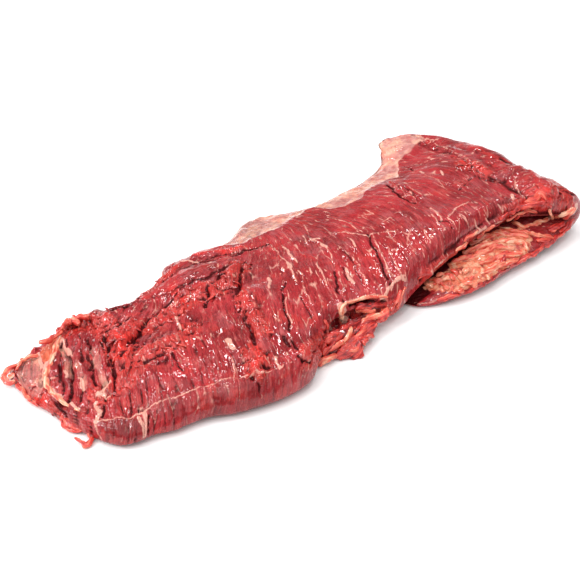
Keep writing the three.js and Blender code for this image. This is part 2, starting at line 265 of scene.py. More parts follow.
def fold_ring(angle):
    """A ring on the fold, turned from the upper layer down to the flap."""
    near, far = near_at(FOLD_X), far_at(FOLD_X)
    y = across(near, far, 1.0)
    turned = (1 - math.cos(angle)) / 2
    thick = thickness_at(FOLD_X) * (1 - turned) + (lift_at(FOLD_X, y) - GAP) * turned
    inner, outer, rim, _ = section(FOLD_X, y, near, far, thick)
    reach = GAP / 2 + np.where(on_rim, rim, np.where(is_outer, outer, inner))
    centre = lift_at(FOLD_X, y) - GAP / 2
    x = FOLD_X - shortfall_at(y) + reach * math.sin(angle)
    return np.stack([x, y, centre + reach * math.cos(angle)], 1)


def flap_ring(x):
    """A ring across the flap, which lies upside down on the table."""
    near, far = flap_near_at(x), flap_far_at(x)
    y = across(near, far, 1.0)
    blend = smooth(0, 30, FOLD_X - x)
    thick = lift_at(x, y) - GAP
    inner, outer, rim, from_edge = section(FOLD_X, y, near, far, thick)
    flat_outer = thick * (0.5 + 0.5 * rounding(from_edge, UNDERSIDE_ROUND * 0.6))
    flat_inner = thick * 0.5 * (1 - rounding(from_edge, FLAP_ROUND))
    folded = np.where(on_rim, rim, np.where(is_outer, outer, inner))
    flat = np.where(on_rim, thick * 0.5, np.where(is_outer, flat_outer, flat_inner))
    return np.stack([skewed(x, y), y, thick - folded * (1 - blend) - flat * blend], 1)


tail_steps = np.array([0, 0.4, 0.9, 1.5, 2.2, 3.0, 3.9])
body_x = np.linspace(TAIL_X + 4.9, FOLD_X, round((FOLD_X - TAIL_X - 4.9) / BODY_STEP))
flap_x = np.linspace(FOLD_X, FLAP_END_X, round((FOLD_X - FLAP_END_X) / FLAP_STEP))[1:]
fold_angles = np.linspace(0, math.pi, FOLD_RINGS + 1)[1:]
stations = np.concatenate([TAIL_X + tail_steps, body_x])
rings = [upper_ring(x) for x in stations]
rings += [fold_ring(a) for a in fold_angles]
rings += [flap_ring(x) for x in flap_x]
grid = np.array(rings) + PLAN_SHIFT
RINGS, POINTS = grid.shape[:2]
print(RINGS, "rings of", POINTS, "points")

# %% [markdown]
# ## A place on the unfolded steak
#
# Muscle fibres do not care about the fold: they run on round it. So each point also gets a place on
# the steak as it was before folding, measured along the skin. `length_at` runs from the tail to the
# end of the flap and `width_at` from the near to the far edge.

# %% Unfolded coordinates and outward directions
upper_count = len(stations)
FOLD_RADIUS = GAP / 2 + 15
fold_arc = FOLD_RADIUS * fold_angles
fold_length = fold_arc[-1]
ring_length = np.concatenate([stations, FOLD_X + fold_arc, FOLD_X + fold_length + (FOLD_X - flap_x)])
plan_x = grid[:, :, 0] - PLAN_SHIFT[0]
plan_y = grid[:, :, 1] - PLAN_SHIFT[1]
fold_skew = smooth(FOLD_SKEW_START_X, FOLD_X, ring_length)[:, None]
length_at = ring_length[:, None] - shortfall_at(plan_y) * fold_skew
outer_span = grid[:, : OUTER_STEPS + 1]
steps = np.linalg.norm(np.diff(outer_span, axis=1), axis=2)
walked = np.concatenate([np.zeros((RINGS, 1)), np.cumsum(steps, axis=1)], axis=1)
middle = np.argmin(np.abs(outer_span[:, :, 1] - PLAN_SHIFT[1]), axis=1)
walked -= walked[np.arange(RINGS), middle][:, None]
width_at = np.concatenate([walked, plan_y[:, OUTER_STEPS + 1 :]], axis=1)


def outward(points):
    """The direction away from the meat at every point of the grid."""
    along = np.gradient(points, axis=0)
    round_ring = np.roll(points, -1, axis=1) - np.roll(points, 1, axis=1)
    normal = np.cross(along, round_ring)
    return normal / np.maximum(np.linalg.norm(normal, axis=2), 1e-9)[:, :, None]


normals = outward(grid)
ring_index = np.arange(RINGS)[:, None]
on_upper = (ring_index < upper_count) & is_outer[None, :]
on_fold = (ring_index >= upper_count) & (ring_index < upper_count + FOLD_RINGS) & is_outer[None, :]
on_flap_top = (ring_index >= upper_count + FOLD_RINGS) & ~is_outer[None, :]
print("unfolded length in mm:", round(float(ring_length[-1] - ring_length[0])))

# %% [markdown]
# ## Noise from a fixed rule
#
# Meat is uneven at every size. Blender's own noise textures would do for the material, but the
# shape needs the same kind of numbers in Python, so here are small functions for soft swelling and
# for cells with borders. They take their numbers from a fixed rule, so the steak is the same on
# every run.

# %% Soft noise and cells


def scrambled(ix, iy, seed):
    """A number between 0 and 1 for each pair of whole numbers, the same on every run."""
    n = (ix * 374761393 + iy * 668265263 + seed * 2147483629) & 0xFFFFFFFF
    n = ((n ^ (n >> 13)) * 1274126177) & 0xFFFFFFFF
    return ((n ^ (n >> 16)) & 0xFFFFFF) / float(0xFFFFFF)


def soft_noise(u, v, seed=0):
    """Smooth random swelling between -1 and 1, one hump to a unit."""
    iu, iv = np.floor(u).astype(np.int64), np.floor(v).astype(np.int64)
    fu, fv = u - iu, v - iv
    su, sv = fu * fu * (3 - 2 * fu), fv * fv * (3 - 2 * fv)
    low = scrambled(iu, iv, seed) * (1 - su) + scrambled(iu + 1, iv, seed) * su
    high = scrambled(iu, iv + 1, seed) * (1 - su) + scrambled(iu + 1, iv + 1, seed) * su
    return 2 * (low * (1 - sv) + high * sv) - 1


def rough_noise(u, v, seed=0, layers=3):
    """Soft noise with finer noise laid over it."""
    total = sum(soft_noise(u * 2**k, v * 2**k, seed + 17 * k) / 2**k for k in range(layers))
    return total / 1.6


def cells(u, v, seed=0, spread=0.85):
    """How far each point is from its cell's border, and a random number for each cell."""
    iu, iv = np.floor(u).astype(np.int64), np.floor(v).astype(np.int64)
    first = np.full(u.shape, 9.0)
    second = np.full(u.shape, 9.0)
    owner = np.zeros(u.shape)
    for du in (-1, 0, 1):
        for dv in (-1, 0, 1):
            cu, cv = iu + du, iv + dv
            x = cu + 0.5 + spread * (scrambled(cu, cv, seed) - 0.5)
            y = cv + 0.5 + spread * (scrambled(cu, cv, seed + 1) - 0.5)
            away = np.hypot(u - x, v - y)
            closer = away < first
            second = np.where(closer, first, np.minimum(second, away))
            owner = np.where(closer, scrambled(cu, cv, seed + 2), owner)
            first = np.where(closer, away, first)
    return second - first, owner


print("noise at a point:", round(float(soft_noise(np.array(0.3), np.array(0.7))), 3))

# %% [markdown]
# ## Which way the fibres run
#
# On the real steak the bundles lie mostly across the meat, slanting back towards the tail at the
# near edge. Behind, they swing round to run lengthwise, and a separate strip along the tail's far
# edge runs lengthwise too. A few listed slants set the direction, and points in between take a
# blend. Each point then slides along its fibre to the middle line: where it lands is its bundle
# coordinate, and how far it slid is its place along the fibre.

# %% The grain
# Each is x and y in millimetres and degrees from the near direction towards the tail
GRAIN = [
    (-175, -15, 28), (-145, -20, 25), (-112, 0, 50), (-100, -45, 24), (-80, -62, 20),
    (-60, -20, 30), (-45, 6, 42), (-40, -45, 30), (-28, 22, 44), (0, -45, 25), (5, 2, 28),
    (30, -45, 23), (60, -40, 20), (100, -40, 17), (146, -10, 4), (150, -45, 17), (172, -20, 12),
    (172, 40, 4), (40, 22, -14), (80, 18, -30), (112, 14, -42), (125, 32, -50), (112, -12, -12),
    (80, -12, 6), (60, 40, -38), (230, 0, 15), (280, -40, 60), (330, -40, 70), (20, 50, -20),
    (-20, 50, 30),
]
GRAIN_REACH = 26
STRIP_EDGE = [(-150, 36), (-113, 32), (-91, 24), (-69, 18), (-56, 14), (-41, 17), (-30, 24), (-18, 60)]


def grain_angle(x, y):
    """The slant of the fibres, blended from the listed slants."""
    total = np.zeros_like(x)
    weight = np.zeros_like(x)
    for gx, gy, angle in GRAIN:
        near = 1.0 / (((x - gx) ** 2 + (y - gy) ** 2) / GRAIN_REACH**2 + 0.15) ** 1.6
        total += near * angle
        weight += near
    return np.radians(total / weight)


def follow_fibres(x, y, steps=26):
    """Slides every point along its fibre to the middle line."""
    at_x, at_y = x.copy(), y.copy()
    slid = np.zeros_like(x)
    step = y / steps
    for _ in range(steps):
        angle = grain_angle(at_x, at_y)
        at_x -= step * np.tan(angle)
        slid += step / np.cos(angle)
        at_y -= step
    return at_x, slid


bundle, fibre = follow_fibres(length_at, width_at)
strip = (width_at > np.interp(length_at, *zip(*STRIP_EDGE))) & (length_at < -18) & (length_at > -150)
# Its numbers are far from those of the other bundles, so that no cell reaches over
STRIP_OFFSET = 400
bundle = np.where(strip, width_at * 1.1 + STRIP_OFFSET, bundle)
fibre = np.where(strip, length_at, fibre)
print("bundle coordinate from", round(float(bundle.min())), "to", round(float(bundle.max())))

# %% [markdown]
# ## Marks read off the photograph
#
# Tears, creases and lines of fat are given as a few pixels each. A ray from the camera carries each
# pixel onto the plain skin, and every point of the skin then knows how far it is from the line.
# Painting by hand in Blender is the usual way. Lines in code can be measured and changed.

# %% Carrying pixels onto the meat
flat_points = grid.reshape(-1, 3)


def ring_faces(rings_in, points_in):
    """The corners of the faces between each ring and the next."""
    i = np.arange(rings_in - 1)[:, None] * points_in
    j = np.arange(points_in)[None, :]
    k = (j + 1) % points_in
    quads = np.stack([i + j, i + j + points_in, i + k + points_in, i + k], axis=-1)
    return quads.reshape(-1, 4)


quads = ring_faces(RINGS, POINTS)
caster = BVHTree.FromPolygons([tuple(p) for p in flat_points], [tuple(q) for q in quads.tolist()])


def on_meat(px, py):
    """The point of the skin that the camera sees at a pixel, or the floor behind it."""
    direction = ray_through(px, py)
    hit = caster.ray_cast(Vector(eye), Vector(direction).normalized())[0]
    if hit is not None:
        return np.array(hit)
    nearest = caster.find_nearest(Vector(eye - direction * (eye[2] - 10) / direction[2]))[0]
    return np.array(nearest)


WOBBLE = 1.1
wobbled = flat_points + WOBBLE * np.stack(
    [soft_noise(flat_points[:, 0] / 4.5, flat_points[:, 1] / 4.5, seed) for seed in (61, 62)]
    + [np.zeros(len(flat_points))],
    axis=1,
)


def distance_to(path, reach=14.0):
    """How far every point of the skin is from a line of pixels, up to the reach."""
    line = [on_meat(*p) for p in path]
    low = np.min(line, axis=0) - reach
    high = np.max(line, axis=0) + reach
    chosen = np.all((wobbled > low) & (wobbled < high), axis=1)
    near = wobbled[chosen]
    best = np.full(len(near), reach)
    for a, b in zip(line[:-1], line[1:]):
        span = b - a
        t = np.clip((near - a) @ span / max(span @ span, 1e-9), 0, 1)
        best = np.minimum(best, np.linalg.norm(near - a - t[:, None] * span, axis=1))
    if len(line) == 1:
        best = np.minimum(best, np.linalg.norm(near - line[0], axis=1))
    out = np.full(len(flat_points), reach)
    out[chosen] = best
    return out.reshape(RINGS, POINTS)


def inside(polygon, layer):
    """1 inside a shape drawn in pixels, on one layer of the meat."""
    corners = np.array([on_meat(*p)[:2] for p in polygon])
    x, y = grid[:, :, 0], grid[:, :, 1]
    odd = np.zeros(x.shape, bool)
    for (ax, ay), (bx, by) in zip(corners, np.roll(corners, -1, axis=0)):
        crosses = (ay > y) != (by > y)
        slope = (bx - ax) / (by - ay if abs(by - ay) > 1e-9 else 1e-9)
        odd ^= crosses & (x < ax + slope * (y - ay))
    return odd & layer


print("the crease by the fold lies at", np.round(on_meat(462, 160)), "mm")

# %% [markdown]
# ## A strip with its own grain
#
# Past the long crease by the fold the fibres run along the steak, where a second muscle lies
# against the first. The crease is read off the photograph, and every point past it takes its
# bundle and fibre coordinates straight from its unfolded place.

# %% The fold's own strip of fibres
FOLD_CREASE = [
    (420, 138), (447, 152), (462, 160), (482, 175), (500, 180), (516, 192), (525, 198), (545, 196),
]
crease = np.array([on_meat(*p)[:2] - PLAN_SHIFT[:2] for p in FOLD_CREASE])
crease = crease[np.argsort(crease[:, 1])]
past_crease = plan_x - np.interp(plan_y, crease[:, 1], crease[:, 0])
FOLD_STRIP_END, FOLD_STRIP_NEAR = 215, -60
FOLD_SLANT, FOLD_OFFSET = 0.23, 900
fold_strip = (past_crease > 0) & (on_upper | on_fold)
fold_strip &= (length_at < FOLD_STRIP_END) & (width_at > FOLD_STRIP_NEAR)
bundle = np.where(fold_strip, width_at + length_at * FOLD_SLANT + FOLD_OFFSET, bundle)
fibre = np.where(fold_strip, length_at, fibre)
print("share of the skin in the fold's strip:", round(float(fold_strip.mean()), 3))

# %% [markdown]
# ## Tears and creases
#
# A tear between two bundles is a narrow, deep groove, and the crease by the fold is a wide, shallow
# one. A groove is a half width and a depth in millimetres, then the pixels of its line. The deepest
# groove wins where two meet, so crossing lines do not dig a pit.

# %% Grooves
GROOVES = [
    (3.0, 5.0, [(172, 301), (163, 309), (158, 316)]),
    (2.8, 7.5, [(157, 316), (148, 321), (141, 330), (136, 339), (132, 346)]),
    (2.0, 4.0, [(131, 348), (126, 356), (120, 362)]),
    (2.4, 3.5, [(105, 332), (118, 327), (128, 320)]),
    (1.8, 4.5, [(209, 289), (208, 300), (205, 308)]),
    (1.4, 4.2, [(246, 262), (241, 273), (239, 290)]),
    (3.2, 1.5, [(238, 288), (236, 299), (242, 312), (249, 328)]),
    (1.5, 2.6, [(248, 326), (252, 336), (254, 346)]),
    (2.2, 4.5, [(212, 286), (218, 282), (222, 274)]),
    (1.6, 2.8, [(283, 336), (287, 343), (290, 346)]),
    (1.4, 2.6, [(290, 340), (295, 347), (299, 350)]),
    (0.9, 3.6, [(282, 293), (284, 305), (286, 315), (289, 325), (291, 331)]),
    (0.9, 2.0, [(286, 283), (282, 290)]),
    (0.9, 3.4, [(334, 272), (336, 281), (339, 292), (343, 303)]),
    (0.9, 2.2, [(343, 268), (347, 277), (351, 281)]),
    (1.0, 3.2, [(367, 235), (371, 243), (375, 251)]),
    (1.0, 3.0, [(375, 251), (381, 263), (387, 276), (391, 285)]),
    (6.0, 2.3, [(418, 141), (447, 153), (462, 161), (482, 176)]),
    (1.0, 1.7, [(437, 146), (446, 151), (458, 156), (466, 159), (476, 165)]),
    (5.0, 2.4, [(487, 178), (503, 182), (514, 191), (524, 198)]),
    (1.1, 2.2, [(200, 264), (222, 261), (246, 251), (270, 245)]),
    (1.6, 2.4, [(175, 297), (190, 286), (206, 279), (225, 268)]),
    (1.7, 4.0, [(103, 336), (107, 348), (112, 362), (116, 378), (116, 398)]),
    (1.3, 4.0, [(61, 345), (66, 354), (72, 366), (73, 378), (71, 392), (70, 399)]),
    (1.0, 2.6, [(60, 366), (62, 375), (61, 384)]),
    (1.2, 3.2, [(92, 362), (93, 376), (97, 388)]),
    (1.4, 4.0, [(106, 398), (105, 408), (104, 418)]),
    (1.1, 2.6, [(88, 342), (91, 350), (92, 358)]),
    (1.0, 2.6, [(99, 340), (104, 352), (110, 366)]),
    (1.2, 2.8, [(55, 402), (60, 409), (64, 413)]),
    (1.3, 3.0, [(67, 416), (71, 422), (74, 426)]),
    (1.0, 2.4, [(134, 358), (133, 368), (128, 378)]),
    (0.9, 2.2, [(154, 313), (158, 323), (163, 331)]),
    (0.9, 1.8, [(172, 355), (178, 365), (182, 373)]),
    (1.1, 2.4, [(388, 185), (393, 192), (400, 198), (408, 202), (416, 204)]),
    (0.8, 1.6, [(399, 186), (407, 193), (414, 197)]),
    (0.8, 1.4, [(427, 208), (432, 211)]),
    (0.9, 1.8, [(440, 222), (446, 221), (451, 229)]),
    (0.8, 1.6, [(419, 147), (428, 148)]),
    (0.8, 1.6, [(405, 167), (413, 171)]),
    (0.8, 1.6, [(300, 296), (305, 306), (311, 316)]),
    (0.8, 1.4, [(346, 252), (352, 261), (358, 272), (364, 284)]),
    (1.4, 1.6, [(250, 376), (259, 385), (261, 397)]),
    (1.4, 2.6, [(298, 356), (304, 361), (312, 362)]),
    (2.0, 4.5, [(511, 218), (523, 218), (538, 216), (547, 216)]),
    (2.0, 5.5, [(524, 229), (534, 227), (546, 223), (560, 219)]),
    (2.4, 5.0, [(352, 306), (364, 303), (378, 304), (385, 302)]),
    (2.4, 5.0, [(347, 329), (352, 316), (357, 306)]),
    (1.0, 2.2, [(394, 300), (393, 308), (391, 311)]),
    (1.1, 2.6, [(147, 416), (148, 424), (147, 433)]),
    (0.9, 1.8, [(497, 152), (510, 162), (520, 172), (534, 184)]),
    (0.9, 1.8, [(470, 145), (490, 153), (512, 168), (530, 176), (548, 184)]),
    (0.8, 1.6, [(446, 137), (470, 141), (492, 147)]),
    (0.8, 1.6, [(478, 172), (468, 182), (460, 190)]),
]
NARROWER, SHALLOWER = 0.58, 0.8
dug = np.zeros((RINGS, POINTS))
for half_width, depth, path in GROOVES:
    slope = np.exp(-((distance_to(path) / (half_width * NARROWER)) ** 2))
    dug = np.maximum(dug, depth * SHALLOWER * slope)
print(len(GROOVES), "grooves, the deepest", round(float(dug.max()), 1), "mm")

# %% [markdown]
# ## Raised muscles and lips
#
# A muscle that stands up is a wide, low ridge, and the lip of a tear a narrow one. A ridge is a half
# width and a height, then its line. Sculpting with the Clay Strips brush would give such forms too.

# %% Ridges
RIDGES = [
    (6.5, 2.8, [(246, 298), (254, 314), (261, 330), (264, 342)]),
    (8.0, 2.2, [(258, 292), (268, 310), (275, 326)]),
    (7.0, 2.4, [(112, 318), (140, 304), (170, 287), (200, 273), (228, 262)]),
    (3.0, 2.6, [(196, 258), (215, 255), (240, 250)]),
    (4.0, 2.6, [(62, 330), (76, 322), (92, 322)]),
    (3.4, 3.0, [(116, 336), (122, 346), (127, 357), (122, 363)]),
    (4.5, 2.6, [(184, 292), (196, 287), (206, 286)]),
    (4.0, 2.8, [(226, 280), (234, 272), (240, 268)]),
    (3.4, 2.4, [(214, 290), (220, 284), (228, 284)]),
    (3.6, 2.0, [(138, 362), (152, 352), (168, 345), (178, 340)]),
    (6.0, 1.8, [(145, 372), (165, 378), (185, 378)]),
    (0.9, 1.9, [(391, 184), (396, 190), (402, 195), (409, 199), (416, 202)]),
    (0.7, 1.4, [(394, 183), (400, 188), (406, 192), (411, 195)]),
    (0.8, 1.5, [(404, 187), (413, 192), (422, 198)]),
    (3.0, 2.6, [(252, 354), (260, 358), (256, 370)]),
    (5.0, 1.6, [(446, 148), (468, 162), (486, 172)]),
    (4.0, 2.4, [(514, 207), (528, 203), (542, 198)]),
    (6.0, 1.6, [(108, 430), (122, 430), (136, 427)]),
    (3.2, 2.0, [(76, 362), (86, 376), (94, 392)]),
    (3.0, 1.8, [(52, 372), (55, 385), (64, 396)]),
    (5.0, 2.0, [(340, 306), (342, 316), (345, 322)]),
    (10.0, 5.6, [(516, 174), (529, 182), (541, 190), (550, 197)]),
    (7.0, 1.8, [(440, 139), (456, 143), (474, 148)]),
    (1.8, 2.4, [(428, 271), (440, 262), (452, 254), (464, 243), (478, 232), (492, 223),
                (501, 218)]),
]
raised = np.zeros((RINGS, POINTS))
for half_width, height, path in RIDGES:
    raised = np.maximum(raised, height * np.exp(-((distance_to(path, 20) / half_width) ** 2)))
print(len(RIDGES), "ridges, the highest", round(float(raised.max()), 1), "mm")

# %% [markdown]
# ## Torn flesh
#
# Where the membrane was pulled off, the flesh is torn into soft folds: along the tail, at the hollow
# and at the fold's corner. Each zone is a line with a half width in millimetres, and its mask fades
# out over 6 mm.

# %% Where the flesh is torn
TORN_ZONES = [
    (7, [(70, 330), (95, 322), (118, 338), (122, 356)]),
    (6, [(128, 330), (150, 328), (172, 315), (192, 300), (208, 292)]),
    (5, [(218, 290), (230, 280), (238, 268)]),
    (4, [(142, 362), (160, 352), (180, 345), (190, 330)]),
    (6, [(104, 395), (122, 385), (132, 372)]),
    (5, [(312, 356), (322, 346), (336, 336)]),
    (5, [(355, 318), (372, 314), (386, 310)]),
    (4, [(508, 214), (524, 206), (542, 199)]),
    (4, [(252, 354), (260, 360), (256, 370)]),
    (2.4, [(424, 277), (450, 258), (478, 238), (500, 221)]),
    (3, [(244, 300), (254, 318), (262, 334)]),
    (2, [(462, 164), (474, 168), (484, 173)]),
    (4, [(550, 182), (559, 192), (568, 203)]),
    (1, [(142, 294), (160, 282), (176, 268)]),
    (1, [(20, 388), (34, 400), (46, 404), (60, 418)]),
]


def painted(lines, soft):
    """1 within each line's half width, fading to 0 over the soft distance."""
    mask = np.zeros((RINGS, POINTS))
    for half_width, path in lines:
        away = distance_to(path, half_width + soft + 2)
        mask = np.maximum(mask, 1 - smooth(half_width, half_width + soft, away))
    return mask


torn = painted(TORN_ZONES, 6.0)
print("torn share of the skin:", round(float(torn.mean()), 3))

# %% [markdown]
# ## Relief of the fibres
#
# Long cells stand for the bundles: 6 mm across and several times as long, each with its own height
# and a crack round it. The tail is ragged and loose, so they stand out more there than on the
# smooth right half. Each layer of noise is one thing on real meat: `bundles` with their cracks, the
# `strands` and `threads` in them, `billows` on the loose tail, and `folds`, `pleats` and `knots`
# where the flesh is torn. A fold is one minus the size of the noise, which gives sharp backs and
# soft valleys.

# %% Relief of the fibres
BUNDLE_WIDTH, BUNDLE_LENGTH = 6.4, 40
wander = 0.3 * soft_noise(length_at / 12, width_at / 12, 7)
border, bundle_tone = cells(bundle / BUNDLE_WIDTH + wander, fibre / BUNDLE_LENGTH, 3)
raggedness = 0.32 + 0.8 * smooth(-90, -150, length_at) + 0.25 * smooth(-20, -70, length_at)
raggedness *= 1 - 0.35 * smooth(-28, -52, width_at)
tail_side = smooth(-62, -95, length_at) * smooth(-66, -45, width_at)
billows = 1 - 2.4 * np.abs(rough_noise(bundle / 15 + 3, fibre / 24, 21, 2))
swelling = rough_noise(length_at / 26, width_at / 22, 5)
warp = 2.0 * soft_noise(length_at / 9, width_at / 9, 8)
bundles = 0.8 * smooth(0, 0.30, border) + 0.6 * (bundle_tone - 0.5)
strands = 1 - 2 * np.abs(soft_noise((bundle + warp) / 3.2, fibre / 17, 11))
threads = soft_noise((bundle + warp) / 1.7, fibre / 9, 13)
sway_u, sway_v = (1.7 * soft_noise(length_at / 9, width_at / 9, seed) for seed in (71, 72))
folds = 1 - 2.2 * np.abs(soft_noise(length_at / 10.0 + sway_u, width_at / 2.7 + sway_v, 73))
pleats = 1 - 2.2 * np.abs(soft_noise(bundle / 2.1 + sway_v, fibre / 7.0 + sway_u, 75))
knots = 1 - 2.4 * np.abs(rough_noise(length_at / 13 + sway_u / 3, width_at / 8 + sway_v / 3, 97, 2))
crumbs = 1.25 * folds + 0.55 * pleats + 0.25 * soft_noise(length_at / 1.6, width_at / 1.6, 77)
SWELLING, BILLOWS, KNOTS = 1.3, 1.5, 1.5
fibres = bundles + 0.40 * strands + 0.28 * threads
relief = SWELLING * swelling + BILLOWS * tail_side * billows + (1 - 0.8 * torn) * raggedness * fibres
relief += (0.62 * torn + 0.13) * crumbs + KNOTS * torn * knots
small_relief = relief - SWELLING * swelling
relief += raised - dug
print("relief from", round(float(relief.min()), 1), "to", round(float(relief.max()), 1), "mm")

# %% [markdown]
# ## Painted shade and highlight in the hollows
#
# These numbers darken the colour in the crevices as painted shade and lighten it on the ridges as
# a painted highlight. A point that lies below the average of its neighbourhood is in a hollow, and
# one above it stands out. Two neighbourhoods, a small and a large one, catch fine cracks and wide
# valleys. Blender's own cavity shading finds the same thing.

# %% How deep each point lies


def blurred(values, reach):
    """The average over a square window of the grid."""
    for axis in (0, 1):
        width = [(reach, reach) if a == axis else (0, 0) for a in (0, 1)]
        padded = np.pad(values, width, mode="edge")
        total = np.cumsum(np.insert(padded, 0, 0, axis=axis), axis=axis)
        span, size = 2 * reach + 1, padded.shape[axis]
        ends = np.take(total, np.arange(span, size + 1), axis=axis)
        starts = np.take(total, np.arange(0, size + 1 - span), axis=axis)
        values = (ends - starts) / span
    return values


small_relief += raised - dug
in_cracks = np.clip(blurred(small_relief, 2) - small_relief, -2, 2)
in_valleys = np.clip(blurred(small_relief, 8) - small_relief, -2, 4)
# Above zero this marks painted shade in the crevices, below zero a painted highlight on the ridges
shade_and_highlight = 1.4 * in_cracks + 0.6 * in_valleys
print("hollow from", round(float(shade_and_highlight.min()), 1), "to", round(float(shade_and_highlight.max()), 1))

# %% [markdown]
# ## Skin, fat and fresh flesh as masks
#
# The material needs to know where the silverskin, the fat and the freshly torn flesh are. Each is a
# number on every point of the mesh, a named attribute that the shader reads. They stay with the
# mesh from every side, which a projected picture would not.

